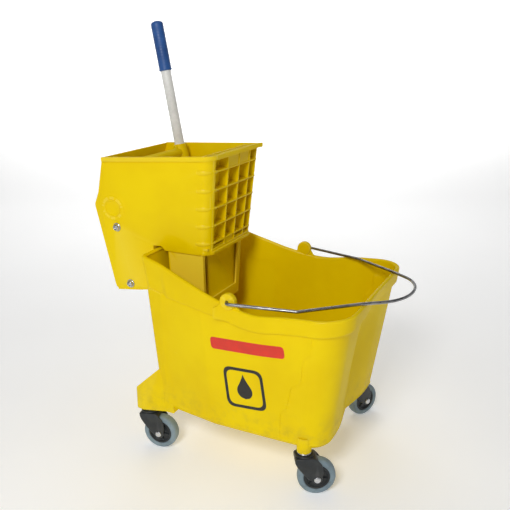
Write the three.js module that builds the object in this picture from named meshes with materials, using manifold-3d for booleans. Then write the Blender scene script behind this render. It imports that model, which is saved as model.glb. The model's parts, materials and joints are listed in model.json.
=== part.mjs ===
// Mop bucket with a side press wringer, on four swivel casters. Millimetres, +Z up.
// +X is the pour end, -Y is the near side and the wringer hooks over the rear rim.

import * as THREE from 'three';
import { mergeVertices } from 'three/addons/utils/BufferGeometryUtils.js';
import Module from 'manifold-3d';

const wasm = await Module();
wasm.setup();

// ---------------------------------------------------------------- driving dimensions

const FIT_GAP = 0.3;                 // clearance between touching pieces
const CENTRE_SHIFT = [2, -5.8];      // brings the origin under the middle of the whole object

// Bucket: rear and front X, side half-widths and corner radii at the floor and at the rim
const WALL = 4;
const FLOOR_Z = 98;
const CUT_ABOVE = 1.3;               // where the cut for the inside ends, as a share of the wall's height
const BOTTOM = {
  rear: -160, front: 213, rearRadius: 14, frontRadius: 46,
  half: [[-138, 149], [-20, 169], [165, 170]],
};
const TOP = {
  rear: -189, front: 255, rearRadius: 13, frontRadius: 58,
  half: [[-164, 159], [-56, 177], [34, 190], [95, 198], [197, 200]],
};
const RIM_HEIGHTS = [
  [-189, 438], [-150, 430], [-80, 407], [-9, 385], [78, 371], [141, 378.5], [215, 383], [256, 385],
];
const BAND_TALL = [[-189, 66], [-135, 65], [-74, 50], [-4, 35], [256, 33]];
const BAND = { proud: 5, lip: 2, lipFraction: 0.985, footBelow: 0.02 };
// The creased flute down the middle of the pour end, which runs out under the rim: its depths at the floor,
// below the band and at the band's foot, and the share of the depth at distances from the middle plane
const FLUTE = {
  lowDepth: 14, depth: 20, bandDepth: 10, foot: 0.72,
  shape: [[102, 0], [78, 0.1], [52, 0.36], [27, 0.68], [3, 1]],
};

// Caster wings at the rear corners, and the caster sockets
const WING = {
  back: -220, front: -132, inside: 112, outside: 164, frontOutside: 150.5,
  lipZ: 138, slopeX: -162, slopeZ: 190, baseZ: 92, lipRadius: 14, planRadius: 18,
};
const SOCKET_RADIUS = 15;
const SOCKET_TOP = 124;
const STEM_HOLE_TOP = 120;

// Bail handle and its two ears
const EAR = {
  x: 24, z: 387, radius: 16, inner: 184.5, outer: 198, foot: 13, footInset: 4, footZ: 350, pinInner: 187,
};
const WIRE_RADIUS = 3;
const PIN_GAP = 0.6;
const BAIL = {
  armY: 204, kinkX: 156, kinkY: 179, kinkZ: 383.5, bendX: 250, bendY: 106, noseX: 324, noseY: 68,
  restZ: 389.5,
};

// Wringer: side outline in X and Z, and a width that shrinks towards the front and the bottom
const WIDTH = { atFrontTop: 107, perX: -0.0666, perZ: 0.0823, frontX: -54, topZ: 638, nominal: 100 };
const PLATE = 4.5;
const BACK_TOP = [-300, 623];
const FRONT_TOP = [-54, 638];
const FRONT_LOW = [-71, 438];
const BACK_NOTCH = [-319, 548];
const BACK_BUMP = [-331, 521];
const BACK_LOW = [-301, 338];
const HOOK = { rear: -199, front: -180, top: 443, rearLowZ: 346, bridge: 5 };
const FLANGE = { tall: 9, proud: 3 };
const BACK_STRIP_LOW = 585;
const LOW_BACK = { top: [-322, 470], foot: [-301, 346], thick: 4.5 };
const LOW_FLOOR = { rear: [-297, 333], front: [-236, 340], thick: 3.5 };

// Drain skirt under the chamber: its front window and the panel that stands behind it
const SKIRT = { rear: -168, front: -88, bottom: 300, inset: 5, lean: 4 };
const WINDOW = { low: 325, high: 432, radius: 14, nearEdge: 10, farEdge: 18 };
const PANEL = { behind: 14, lean: 4, thick: 4, nearEdge: 42, farEdge: 2 };
const DRAIN_HALF = 78;

// Front grid: upright ribs, shelves counted down from the first, and the plane behind them
const GRID = {
  low: 438, high: 638, depth: 20, thick: 3.8, shelfZ: 607, pitch: 37, shelves: 5, uprights: [-29, 18, 63],
};
const CORNER_POSTS = [{ y: -90, wide: 18 }, { y: 95, wide: 9 }];
const BLANK = { low: 606, high: 636, behind: 1.5 };
const SILL = { z: 444, thick: 6 };
const LINTEL = { z: 636, thick: 5 };

// Sieve that lies on the chamber's floor
const SIEVE = {
  thick: 3, rows: 4, columns: 6, rowPitch: 21, columnPitch: 24, firstRow: 30, holeRadius: 5, sideGap: 4,
};

// Press lever and its yoke
const PIVOT = [-288, 516];
const TIE_ROD = [-282, 475];
const HINGE_ROD = [-263, 349];
const PIVOT_RADIUS = 6;
const ROD_RADIUS = 4;
const BOSS = { radius: 18.5, deep: 10, proud: 2.5 };
const CROSSBAR = { x: -237, z: 609, radius: 11, half: 99 };
const YOKE_ARM = { inner: 91, outer: 98, tail: 25, tip: 11, root: 15, heel: 7, eye: 15, springHole: 2.5 };
const LEVER = {
  y: 83, leanDeg: 10.6, footZ: 578, topZ: 891, radius: 11, wall: 1.6, gripRadius: 13.8, gripLength: 106,
};
const LEVER_SOCKET = { below: 34, above: 19, lowRadius: 16, highRadius: 14.5 };
const BOLT = { z: 588, radius: 3, grip: 17, head: 5.5, headTall: 3.6, nut: 6, nutTall: 4, tail: 6 };

// Press plate, drawn upright from its hinge; its far top corner is notched round the lever's socket
const PRESS = { halfLow: 82, halfHigh: 88, length: 246, thick: 5, leanDeg: 8.9, clear: 16, chamfer: 12 };
const PRESS_NOTCH = { y: 58, low: 160 };
const KNUCKLE = { places: [-62, 0, 62], half: 13, radius: 8 };
const PRESS_RIB = { places: [-60, -24, 12, 48], half: 2, tall: 5, low: 50, high: 232 };

// Return springs, from the hinge rod to the yoke's tails
const SPRING = { y: 86, coilRadius: 5, coilWall: 1.6, lowEnd: 14, highEnd: 10 };

// Casters: stem places, heading of the trail, and the caster's own sizes
const CASTERS = {
  front_right: { x: 169.5, y: -161, heading: 29 },
  front_left: { x: 169.5, y: 161, heading: 60 },
  rear_right: { x: -195, y: -145, heading: 9 },
  rear_left: { x: -195, y: 145, heading: 37 },
};
const WHEEL_RADIUS = 38;
const TYRE = { half: 12, inner: 26 };
const HUB = { half: 13, boss: 9, web: 7, rim: 21.5 };
const TRAIL = 25;
const FORK = { inner: 15.5, outer: 18.5, plateLow: 80, plateHigh: 84, bore: 6 };
const FORK_REAR = [[-15, 84], [-16, 74], [-9, 62]];
const FORK_FRONT = [[30, 62], [17, 80], [15, 84]];
const FORK_EYE = 9;
const AXLE_RADIUS = 4;
const RACEWAY = { low: 17, high: 19 };
const STEM = { radius: 5.5, head: 8.5, headLow: 76.8, flange: 14, flangeLow: 88.8, top: 118 };

// ---------------------------------------------------------------- materials

const material = (color, roughness, metalness = 0) =>
  new THREE.MeshStandardMaterial({ color, roughness, metalness });
const YELLOW = () => material(0xe8ce00, 0.38);
const SHADED_YELLOW = () => material(0xd9b800, 0.42);
const WHITE_PAINT = () => material(0xd9dad6, 0.3);
const BLUE_VINYL = () => material(0x1f4e8c, 0.5);
const BLACK_PLASTIC = () => material(0x1f2628, 0.45);
const GREY_RUBBER = () => material(0x7e95a0, 0.6);
const BRIGHT_STEEL = () => material(0xc9ccd0, 0.25, 1);
const WIRE_STEEL = () => material(0x8d9094, 0.3, 1);

// ---------------------------------------------------------------- solids and small helpers

const radians = THREE.MathUtils.degToRad;

// A closed three.js geometry as a manifold solid.
function solid(geometry) {
  const bare = geometry.clone();
  bare.deleteAttribute('normal');
  bare.deleteAttribute('uv');
  const merged = mergeVertices(bare, 1e-3);
  const vertProperties = new Float32Array(merged.attributes.position.array);
  const triVerts = new Uint32Array(merged.index.array);
  return new wasm.Manifold(new wasm.Mesh({ numProp: 3, vertProperties, triVerts }));
}

// A manifold solid as a three.js geometry.
function surface(manifold) {
  const { vertProperties, triVerts } = manifold.getMesh();
  const geometry = new THREE.BufferGeometry();
  geometry.setAttribute('position', new THREE.BufferAttribute(new Float32Array(vertProperties), 3));
  geometry.setIndex(Array.from(triVerts));
  geometry.computeVertexNormals();
  return geometry;
}

const join = (first, ...rest) => rest.reduce((sum, piece) => sum.add(piece), first);
const cut = (first, ...rest) => rest.reduce((left, piece) => left.subtract(piece), first);

function shapeOf(points, holes = []) {
  const shape = new THREE.Shape(points.map(([u, v]) => new THREE.Vector2(u, v)));
  holes.forEach((hole) => shape.holes.push(new THREE.Path(hole.map(([u, v]) => new THREE.Vector2(u, v)))));
  return shape;
}

function extrude(shape, depth) {
  return new THREE.ExtrudeGeometry(shape, { depth, bevelEnabled: false, curveSegments: 8 });
}

// An outline in X and Z, carried along Y.
function slabAlongY(points, lowY, highY, holes = []) {
  return extrude(shapeOf(points, holes), highY - lowY).rotateX(Math.PI / 2).translate(0, highY, 0);
}

// An outline in Y and Z, carried along X.
function slabAlongX(points, lowX, highX, holes = []) {
  const turn = new THREE.Matrix4().makeBasis(
    new THREE.Vector3(0, 1, 0), new THREE.Vector3(0, 0, 1), new THREE.Vector3(1, 0, 0));
  return extrude(shapeOf(points, holes), highX - lowX).applyMatrix4(turn).translate(lowX, 0, 0);
}

function box(lowX, highX, lowY, highY, lowZ, highZ) {
  return new THREE.BoxGeometry(highX - lowX, highY - lowY, highZ - lowZ)
    .translate((lowX + highX) / 2, (lowY + highY) / 2, (lowZ + highZ) / 2);
}

function rodAlongY(radius, x, z, lowY, highY, sides = 16) {
  return new THREE.CylinderGeometry(radius, radius, highY - lowY, sides).translate(x, (lowY + highY) / 2, z);
}

function rodAlongZ(radius, x, y, lowZ, highZ, sides = 16) {
  return new THREE.CylinderGeometry(radius, radius, highZ - lowZ, sides)
    .rotateX(Math.PI / 2).translate(x, y, (lowZ + highZ) / 2);
}

function rodAlongX(radius, x, y, z, length, sides = 12) {
  return new THREE.CylinderGeometry(radius, radius, length, sides).rotateZ(Math.PI / 2).translate(x, y, z);
}

// A turned piece about the Y axis, from a profile of radius and height.
function turned(profile, sides) {
  return new THREE.LatheGeometry(profile.map(([r, h]) => new THREE.Vector2(r, h)), sides);
}

function arc(centreU, centreV, radius, fromDeg, toDeg, steps) {
  return Array.from({ length: steps + 1 }, (_, i) => {
    const a = radians(fromDeg + ((toDeg - fromDeg) * i) / steps);
    return [centreU + radius * Math.cos(a), centreV + radius * Math.sin(a)];
  });
}

// The pair of table rows, [place, value], that a place lies between.
function rowBefore(table, place) {
  let i = 0;
  while (i < table.length - 2 && place > table[i + 1][0]) i += 1;
  return i;
}

function straightAt(table, place) {
  const i = rowBefore(table, place);
  return THREE.MathUtils.mapLinear(place, table[i][0], table[i + 1][0], table[i][1], table[i + 1][1]);
}

// A smooth curve through a table of [place, value] rows.
function smoothAt(table, place) {
  const last = table.length - 1;
  const i = rowBefore(table, place);
  const slope = (k) => {
    const a = table[Math.max(k - 1, 0)];
    const b = table[Math.min(k + 1, last)];
    return (b[1] - a[1]) / (b[0] - a[0]);
  };
  const [[x0, y0], [x1, y1]] = [table[i], table[i + 1]];
  const t = THREE.MathUtils.clamp((place - x0) / (x1 - x0), 0, 1);
  const h = x1 - x0;
  return (2 * t ** 3 - 3 * t ** 2 + 1) * y0 + (t ** 3 - 2 * t ** 2 + t) * h * slope(i)
    + (3 * t ** 2 - 2 * t ** 3) * y1 + (t ** 3 - t ** 2) * h * slope(i + 1);
}

// The corner between two lines, rounded by a curve of four points.
function roundedCorner(before, corner, after, radius) {
  const [a, b, c] = [before, corner, after].map(([u, v]) => new THREE.Vector2(u, v));
  const start = b.clone().add(a.sub(b).setLength(radius));
  const end = b.clone().add(c.sub(b).setLength(radius));
  return new THREE.QuadraticBezierCurve(start, b, end).getPoints(3).map((p) => [p.x, p.y]);
}

// A closed solid through rings that all have the same number of points, counter-clockwise from above.
function loft(rings) {
  const count = rings[0].length;
  const positions = rings.flat().flatMap((p) => [p.x, p.y, p.z]);
  const triangles = [];
  for (let level = 0; level < rings.length - 1; level += 1) {
    for (let i = 0; i < count; i += 1) {
      const j = (i + 1) % count;
      const [a, b] = [level * count + i, level * count + j];
      triangles.push(a, b, b + count, a, b + count, a + count);
    }
  }
  const cap = (ring, start, flip) => {
    const outline = ring.map((p) => new THREE.Vector2(p.x, p.y));
    THREE.ShapeUtils.triangulateShape(outline, []).forEach(([a, b, c]) => {
      triangles.push(start + a, start + (flip ? c : b), start + (flip ? b : c));
    });
  };
  cap(rings[0], 0, true);
  cap(rings.at(-1), (rings.length - 1) * count, false);
  const geometry = new THREE.BufferGeometry();
  geometry.setAttribute('position', new THREE.Float32BufferAttribute(positions, 3));
  geometry.setIndex(triangles);
  return geometry;
}

// ---------------------------------------------------------------- bucket

const rimHeight = (x) => smoothAt(RIM_HEIGHTS, THREE.MathUtils.clamp(x, TOP.rear, TOP.front));

// Half of a level's outline, as [x, y] with y negative, from the rear wall to the pour end.
function halfOutline(level, inset, fluteDepth) {
  const rear = level.rear + inset;
  const front = level.front - inset;
  const rearRadius = level.rearRadius - inset / 2;
  const frontRadius = level.frontRadius - inset / 2;
  const half = (x) => smoothAt(level.half, x) - inset;
  const rearCentre = [rear + rearRadius, half(rear + rearRadius) - rearRadius];
  const frontCentre = [front - frontRadius, half(front - frontRadius) - frontRadius];
  const sideSteps = 8;
  const side = Array.from({ length: sideSteps - 1 }, (_, i) => {
    const x = THREE.MathUtils.lerp(rearCentre[0], frontCentre[0], (i + 1) / sideSteps);
    return [x, half(x)];
  });
  return [
    ...arc(...rearCentre, rearRadius, 180, 90, 4),
    ...side,
    ...arc(...frontCentre, frontRadius, 90, 0, 6),
    ...FLUTE.shape.map(([y, share]) => [front - share * fluteDepth, y]),
  ].map(([x, y]) => [x, -y]);
}

// The bucket's outline at a fraction of the way up its wall.
function bucketRing(fractionAt, inset, fluteDepth, lift = 0) {
  const low = halfOutline(BOTTOM, inset, fluteDepth);
  const high = halfOutline(TOP, inset, fluteDepth);
  const nearSide = low.map(([x, y], i) => {
    const [topX, topY] = high[i];
    const fraction = fractionAt(topX);
    return new THREE.Vector3(
      THREE.MathUtils.lerp(x, topX, fraction),
      THREE.MathUtils.lerp(y, topY, fraction),
      THREE.MathUtils.lerp(FLOOR_Z, rimHeight(topX), fraction) + lift);
  });
  const farSide = nearSide.map((p) => new THREE.Vector3(p.x, -p.y, p.z)).reverse();
  return [...nearSide, ...farSide];
}

const bandStart = (x) => 1 - straightAt(BAND_TALL, x) / (rimHeight(x) - FLOOR_Z);

// Low and high Y of a piece that lies between two distances from the middle plane.
const spanOn = (side, near, far) => (side < 0 ? [-far, -near] : [near, far]);

function casterWing(side) {
  const slopeTop = [WING.slopeX, WING.slopeZ];
  const outline = [
    [WING.back, WING.baseZ], [WING.front, WING.baseZ], [WING.front, WING.slopeZ], slopeTop,
    ...roundedCorner(slopeTop, [WING.back, WING.lipZ], [WING.back, WING.baseZ], WING.lipRadius),
  ];
  const block = solid(slabAlongY(outline, ...spanOn(side, WING.inside, WING.outside)));
  // Seen from above, the wing's outer side runs in to the wall and its rear corner is round.
  const plan = [
    [WING.back - 1, WING.inside - 1], [WING.front + 1, WING.inside - 1], [WING.front + 1, WING.frontOutside],
    [WING.slopeX, WING.frontOutside],
    ...arc(WING.back + WING.planRadius, WING.outside - WING.planRadius - 2, WING.planRadius, 80, 180, 5),
  ];
  const column = extrude(shapeOf(plan.map(([x, y]) => [x, side * y])), WING.slopeZ);
  return block.intersect(solid(column.translate(0, 0, WING.baseZ / 2)));
}

function ear(side) {
  const round = rodAlongY(EAR.radius, EAR.x, EAR.z, ...spanOn(side, EAR.inner, EAR.outer), 20);
  const footY = spanOn(side, EAR.inner, EAR.outer - EAR.footInset);
  const foot = box(EAR.x - EAR.foot, EAR.x + EAR.foot, ...footY, EAR.footZ, EAR.z);
  return join(solid(round), solid(foot));
}

function bucketShell() {
  const at = (fraction) => () => fraction;
  const footOfBand = (x) => bandStart(x) - BAND.footBelow;
  const wall = (inset) => [
    bucketRing(at(FLUTE.foot), inset, FLUTE.depth), bucketRing(footOfBand, inset, FLUTE.bandDepth),
    bucketRing(at(1), inset, 0)];
  // The last ring runs inwards, so that each loft's flat cap lies inside the part that is cut away.
  const innerRim = bucketRing(at(1), 2 * WALL, 0);
  const outside = solid(loft([bucketRing(at(0), 0, FLUTE.lowDepth), ...wall(0), innerRim]));
  const band = solid(loft([
    bucketRing(bandStart, -BAND.proud, FLUTE.bandDepth), bucketRing(at(BAND.lipFraction), -BAND.proud, 0),
    bucketRing(at(1), -BAND.proud + BAND.lip, 0), innerRim]));
  const inside = solid(loft([
    bucketRing(at(0), WALL, FLUTE.lowDepth, WALL), ...wall(WALL), bucketRing(at(CUT_ABOVE), WALL, 0)]));
  const body = cut(join(outside, band, casterWing(-1), casterWing(1)), inside);
  const sockets = Object.values(CASTERS).map(({ x, y }) =>
    solid(rodAlongZ(SOCKET_RADIUS, x, y, WING.baseZ, SOCKET_TOP, 20)));
  const stemHoles = Object.values(CASTERS).map(({ x, y }) =>
    solid(rodAlongZ(STEM.radius + FIT_GAP, x, y, WING.baseZ - 1, STEM_HOLE_TOP, 14)));
  const pinHoles = [-1, 1].map((side) => solid(rodAlongY(
    WIRE_RADIUS + PIN_GAP, EAR.x, EAR.z, ...spanOn(side, EAR.pinInner - PIN_GAP, EAR.outer + 1), 12)));
  return surface(cut(join(body, ...sockets, ear(-1), ear(1)), ...stemHoles, ...pinHoles));
}

// ---------------------------------------------------------------- bail handle

function bailHandle() {
  const half = (side) => [
    [EAR.x - 2, BAIL.armY, EAR.z],
    [EAR.x + 14, BAIL.armY - 1, EAR.z],
    [BAIL.kinkX - 12, BAIL.kinkY + 3, BAIL.kinkZ],
    [BAIL.kinkX + 6, BAIL.kinkY - 4, BAIL.kinkZ],
    [BAIL.bendX, BAIL.bendY, BAIL.restZ],
    [BAIL.noseX - 26, BAIL.noseY, BAIL.restZ + 0.6],
    [BAIL.noseX - 8, BAIL.noseY * 0.55, BAIL.restZ + 0.8],
  ].map(([x, y, z]) => new THREE.Vector3(x, side * y, z));
  const nose = new THREE.Vector3(BAIL.noseX, 0, BAIL.restZ + 1);
  const path = new THREE.CatmullRomCurve3([...half(-1), nose, ...half(1).reverse()], false, 'centripetal');
  const section = shapeOf(arc(0, 0, WIRE_RADIUS, 0, 315, 7));
  const wire = new THREE.ExtrudeGeometry(section, { extrudePath: path, steps: 54, bevelEnabled: false });
  const pins = [-1, 1].map((side) =>
    solid(rodAlongY(WIRE_RADIUS, EAR.x, EAR.z, ...spanOn(side, EAR.pinInner, BAIL.armY + 2), 10)));
  return surface(join(solid(wire), ...pins));
}

// ---------------------------------------------------------------- wringer

// Half-width of the wringer's outer face at a place on its side.
const wringerHalf = (x, z) =>
  WIDTH.atFrontTop + WIDTH.perX * (x - WIDTH.frontX) + WIDTH.perZ * (z - WIDTH.topZ);

// Scales a solid, drawn at the nominal half-width, to the wringer's taper.
function tapered(manifold) {
  const geometry = surface(manifold);
  const place = geometry.attributes.position;
  for (let i = 0; i < place.count; i += 1) {
    place.setY(i, (place.getY(i) * wringerHalf(place.getX(i), place.getZ(i))) / WIDTH.nominal);
  }
  return geometry;
}

// X of the front face at a height, set back by a depth.
function frontAt(z, depth = 0) {
  const along = (z - FRONT_LOW[1]) / (FRONT_TOP[1] - FRONT_LOW[1]);
  return THREE.MathUtils.lerp(FRONT_LOW[0], FRONT_TOP[0], along) - depth;
}

const topAt = (x) => THREE.MathUtils.mapLinear(x, BACK_TOP[0], FRONT_TOP[0], BACK_TOP[1], FRONT_TOP[1]);

function sideOutline() {
  return [
    BACK_TOP, BACK_NOTCH, ...arc(BACK_BUMP[0] + 16, BACK_BUMP[1] - 3, 16, 160, 195, 3),
    ...arc(BACK_LOW[0] + 11, BACK_LOW[1] + 3, 11, 180, 262, 4),
    [HOOK.rear, HOOK.rearLowZ], [HOOK.rear, HOOK.top], [HOOK.front, HOOK.top],
    [FRONT_LOW[0] - 8, FRONT_LOW[1]], [FRONT_LOW[0], FRONT_LOW[1] + 6], FRONT_TOP,
  ];
}

function frontGrid() {
  const half = WIDTH.nominal - 1;
  // A strip of the front between two heights and two depths behind the face.
  const strip = (low, high, shallow, deep, lowY, highY) => solid(slabAlongY([
    [frontAt(low, deep), low], [frontAt(low, shallow), low],
    [frontAt(high, shallow), high], [frontAt(high, deep), high]], lowY, highY));
  const deep = GRID.depth + 1;
  const shelf = (top, thick) => strip(top - thick, top, 0, deep, -half, half);
  const upright = (y, wide) => strip(GRID.low + 2, GRID.high - 2, 0, deep, y - wide / 2, y + wide / 2);
  const { depth, uprights } = GRID;
  return join(
    strip(GRID.low, GRID.high - 1, depth, depth + PLATE, -half, half),
    strip(BLANK.low, BLANK.high, BLANK.behind, deep, uprights[0], uprights.at(-1)),
    shelf(SILL.z, SILL.thick),
    shelf(LINTEL.z, LINTEL.thick),
    ...Array.from({ length: GRID.shelves }, (_, i) => shelf(GRID.shelfZ - GRID.pitch * i, GRID.thick)),
    ...uprights.map((y) => upright(y, GRID.thick)),
    ...CORNER_POSTS.map(({ y, wide }) => upright(y, wide)));
}

function topFlange() {
  const lower = ([x, z]) => [x, z - FLANGE.tall];
  const outline = [BACK_TOP, lower(BACK_TOP), lower(FRONT_TOP), FRONT_TOP];
  return [-1, 1].map((side) =>
    solid(slabAlongY(outline, ...spanOn(side, WIDTH.nominal - 1, WIDTH.nominal + FLANGE.proud))));
}

function skirt() {
  const half = WIDTH.nominal - SKIRT.inset;
  const top = HOOK.top + 3;
  const outline = [
    [SKIRT.rear, SKIRT.bottom], [SKIRT.front - SKIRT.lean, SKIRT.bottom], [SKIRT.front, top],
    [SKIRT.rear, top]];
  const hollow = [
    [SKIRT.rear + PLATE, SKIRT.bottom - 1], [SKIRT.front - PLATE - SKIRT.lean, SKIRT.bottom - 1],
    [SKIRT.front - PLATE, top + 5], [SKIRT.rear + PLATE, top + 5]];
  const [nearY, farY] = [-half + WINDOW.nearEdge, half - WINDOW.farEdge];
  const archZ = WINDOW.high - WINDOW.radius;
  const windowOutline = [
    [nearY, WINDOW.low], [farY, WINDOW.low], ...arc(farY - WINDOW.radius, archZ, WINDOW.radius, 0, 90, 3),
    ...arc(nearY + WINDOW.radius, archZ, WINDOW.radius, 90, 180, 3)];
  const panelX = SKIRT.front - PANEL.behind;
  const panel = slabAlongY([
    [panelX - PANEL.lean, SKIRT.bottom], [panelX - PANEL.lean + PANEL.thick, SKIRT.bottom],
    [panelX + PANEL.thick, HOOK.top + 1], [panelX, HOOK.top + 1],
  ], -half + PANEL.nearEdge, half - PANEL.farEdge);
  const shell = cut(
    solid(slabAlongY(outline, -half, half)),
    solid(slabAlongY(hollow, -half + PLATE, half - PLATE)),
    solid(slabAlongX(windowOutline, SKIRT.front - PLATE - 8, SKIRT.front + 2)));
  return join(shell, solid(panel));
}

function chamberFloor() {
  const half = WIDTH.nominal - 1;
  const [low, high] = [HOOK.top, HOOK.top + HOOK.bridge];
  const plate = solid(box(HOOK.rear - PLATE, frontAt(low, 4), -half, half, low, high));
  const drain = solid(box(
    SKIRT.rear + PLATE + 2, SKIRT.front - PLATE - 3, -DRAIN_HALF, DRAIN_HALF, low - 1, high + 1));
  const rearHook = solid(box(HOOK.rear - PLATE, HOOK.rear, -half, half, HOOK.rearLowZ + 8, high));
  return cut(join(plate, rearHook), drain);
}

// The open back: a strip under the top edge, a low strip, and the sloping floor between the plates' heels.
function backStrips() {
  const half = WIDTH.nominal - 1;
  const lean = (BACK_TOP[0] - BACK_NOTCH[0]) / (BACK_TOP[1] - BACK_NOTCH[1]);
  const stripFoot = [BACK_TOP[0] - lean * (BACK_TOP[1] - BACK_STRIP_LOW), BACK_STRIP_LOW];
  const strip = (from, to, thickX, thickZ) => solid(slabAlongY(
    [from, to, [to[0] + thickX, to[1] - thickZ], [from[0] + thickX, from[1] - thickZ]], -half, half));
  return [
    strip(BACK_TOP, stripFoot, PLATE, 0),
    strip(LOW_BACK.top, LOW_BACK.foot, LOW_BACK.thick, 0),
    strip(LOW_FLOOR.rear, LOW_FLOOR.front, 0, LOW_FLOOR.thick)];
}

function wringerHousing() {
  const half = WIDTH.nominal;
  const plates = [-1, 1].map((side) => solid(slabAlongY(sideOutline(), ...spanOn(side, half - PLATE, half))));
  const bosses = [-1, 1].map((side) =>
    solid(rodAlongY(BOSS.radius, ...PIVOT, ...spanOn(side, half - BOSS.deep, half + BOSS.proud), 20)));
  const hole = ([x, z], radius, reach) => solid(rodAlongY(radius + FIT_GAP, x, z, -reach, reach, 14));
  const whole = join(
    ...plates, ...topFlange(), frontGrid(), skirt(), chamberFloor(), ...backStrips(), ...bosses);
  return tapered(cut(
    whole, hole(PIVOT, PIVOT_RADIUS, half - 0.5), hole(TIE_ROD, ROD_RADIUS, half + 12),
    hole(HINGE_ROD, ROD_RADIUS, half + 12)));
}

function drainSieve() {
  const [lowX, highX] = [HOOK.rear + 2, frontAt(HOOK.top, GRID.depth + PLATE) - 1];
  const half = wringerHalf(highX, HOOK.top) - PLATE - SIEVE.sideGap;
  const outline = [[lowX, -half], [highX, -half], [highX, half], [lowX, half]];
  const holes = [];
  for (let row = 0; row < SIEVE.rows; row += 1) {
    for (let column = 0; column < SIEVE.columns; column += 1) {
      const x = lowX + SIEVE.firstRow + row * SIEVE.rowPitch;
      const y = (column - (SIEVE.columns - 1) / 2) * SIEVE.columnPitch;
      holes.push(arc(x, y, SIEVE.holeRadius, 0, -300, 5));
    }
  }
  const low = HOOK.top + HOOK.bridge + FIT_GAP;
  return extrude(shapeOf(outline, holes), SIEVE.thick).translate(0, 0, low);
}

// ---------------------------------------------------------------- press plate, yoke and lever

function pressPlate() {
  const { halfLow, halfHigh, length, thick, clear, chamfer } = PRESS;
  const outline = [
    [-halfLow, clear], [halfLow, clear], [halfHigh, PRESS_NOTCH.low],
    [PRESS_NOTCH.y, PRESS_NOTCH.low + chamfer], [PRESS_NOTCH.y, length],
    [-halfHigh + chamfer, length], [-halfHigh, length - chamfer]];
  const slab = solid(slabAlongX(outline, -thick / 2, thick / 2));
  const knuckles = KNUCKLE.places.map((y) => join(
    solid(rodAlongY(KNUCKLE.radius, 0, 0, y - KNUCKLE.half, y + KNUCKLE.half, 16)),
    solid(box(-thick / 2, thick / 2, y - KNUCKLE.half, y + KNUCKLE.half, 2, clear + 2))));
  const [ribBack, ribFront] = [thick / 2 - 1, thick / 2 + PRESS_RIB.tall];
  const ribs = PRESS_RIB.places.map((y) => solid(box(
    ribBack, ribFront, y - PRESS_RIB.half, y + PRESS_RIB.half, PRESS_RIB.low, PRESS_RIB.high)));
  const bore = solid(rodAlongY(ROD_RADIUS + FIT_GAP, 0, 0, -halfHigh, halfHigh, 14));
  return surface(cut(join(slab, ...knuckles, ...ribs), bore))
    .rotateY(radians(PRESS.leanDeg)).translate(HINGE_ROD[0], 0, HINGE_ROD[1]);
}

// The lever's axis passes through the crossbar's place and leans back.
const leverAt = (z) => CROSSBAR.x - Math.tan(radians(LEVER.leanDeg)) * (z - CROSSBAR.z);

function alongLever(geometry, fromZ) {
  return geometry.rotateX(Math.PI / 2).rotateY(-radians(LEVER.leanDeg))
    .translate(leverAt(fromZ), LEVER.y, fromZ);
}

const boltHole = () =>
  solid(rodAlongX(BOLT.radius + FIT_GAP, leverAt(BOLT.z), LEVER.y, BOLT.z, 3 * BOLT.grip));

// The yoke's arms lean from the pivot to the crossbar, and their tails point the other way.
const ARM_LEAN = Math.atan2(CROSSBAR.x - PIVOT[0], CROSSBAR.z - PIVOT[1]);
const TAIL = [PIVOT[0] - YOKE_ARM.tail * Math.sin(ARM_LEAN), PIVOT[1] - YOKE_ARM.tail * Math.cos(ARM_LEAN)];

function leverYoke() {
  const { inner, outer, tail, tip, root, heel, eye, springHole } = YOKE_ARM;
  const bar = solid(rodAlongY(CROSSBAR.radius, CROSSBAR.x, CROSSBAR.z, -CROSSBAR.half, CROSSBAR.half, 18));
  const reach = Math.hypot(CROSSBAR.x - PIVOT[0], CROSSBAR.z - PIVOT[1]);
  const outline = [
    ...arc(0, reach, tip, 0, 180, 6), [-root, heel], ...arc(0, -tail, heel, 180, 360, 5), [root, heel]];
  const arms = [-1, 1].map((side) => {
    const arm = slabAlongY(outline, ...spanOn(side, inner, outer)).rotateY(ARM_LEAN);
    const boss = rodAlongY(eye, ...PIVOT, ...spanOn(side, inner, outer), 18);
    return join(solid(arm.translate(PIVOT[0], 0, PIVOT[1])), solid(boss));
  });
  const { below, above, lowRadius, highRadius } = LEVER_SOCKET;
  const profile = [[0, -below], [lowRadius, -below], [highRadius, above], [0, above]];
  const socket = solid(alongLever(turned(profile, 18), CROSSBAR.z));
  const boreRadius = LEVER.radius + FIT_GAP;
  const boreTop = below + 2 * above;
  const boreProfile = [[0, -1], [boreRadius, -1], [boreRadius, boreTop], [0, boreTop]];
  const bore = solid(alongLever(turned(boreProfile, 24), LEVER.footZ));
  const shaft = solid(rodAlongY(PIVOT_RADIUS + FIT_GAP, ...PIVOT, -outer - 1, outer + 1, 16));
  const tailHole = solid(rodAlongY(springHole, ...TAIL, -outer - 1, outer + 1, 10));
  return surface(cut(join(bar, ...arms, socket), bore, shaft, tailHole, boltHole()));
}

function leverTube() {
  const { radius, wall, footZ, topZ, leanDeg } = LEVER;
  const length = (topZ - 4 - footZ) / Math.cos(radians(leanDeg));
  const inner = radius - wall;
  const profile = [[inner, 0], [radius, 0], [radius, length], [inner, length], [inner, 0]];
  return surface(cut(solid(alongLever(turned(profile, 24), footZ)), boltHole()));
}

function leverGrip() {
  const [r, bore, length] = [LEVER.gripRadius, LEVER.radius + FIT_GAP, LEVER.gripLength];
  const profile = [[bore, 0], [r - 1, 0], [r, 1.5], [r, length - 5], [r - 1.5, length - 1.5], [r - 5, length],
    [0, length], [0, length - 3], [bore, length - 3], [bore, 0]];
  return alongLever(turned(profile, 24), LEVER.topZ - length * Math.cos(radians(LEVER.leanDeg)));
}

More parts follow.
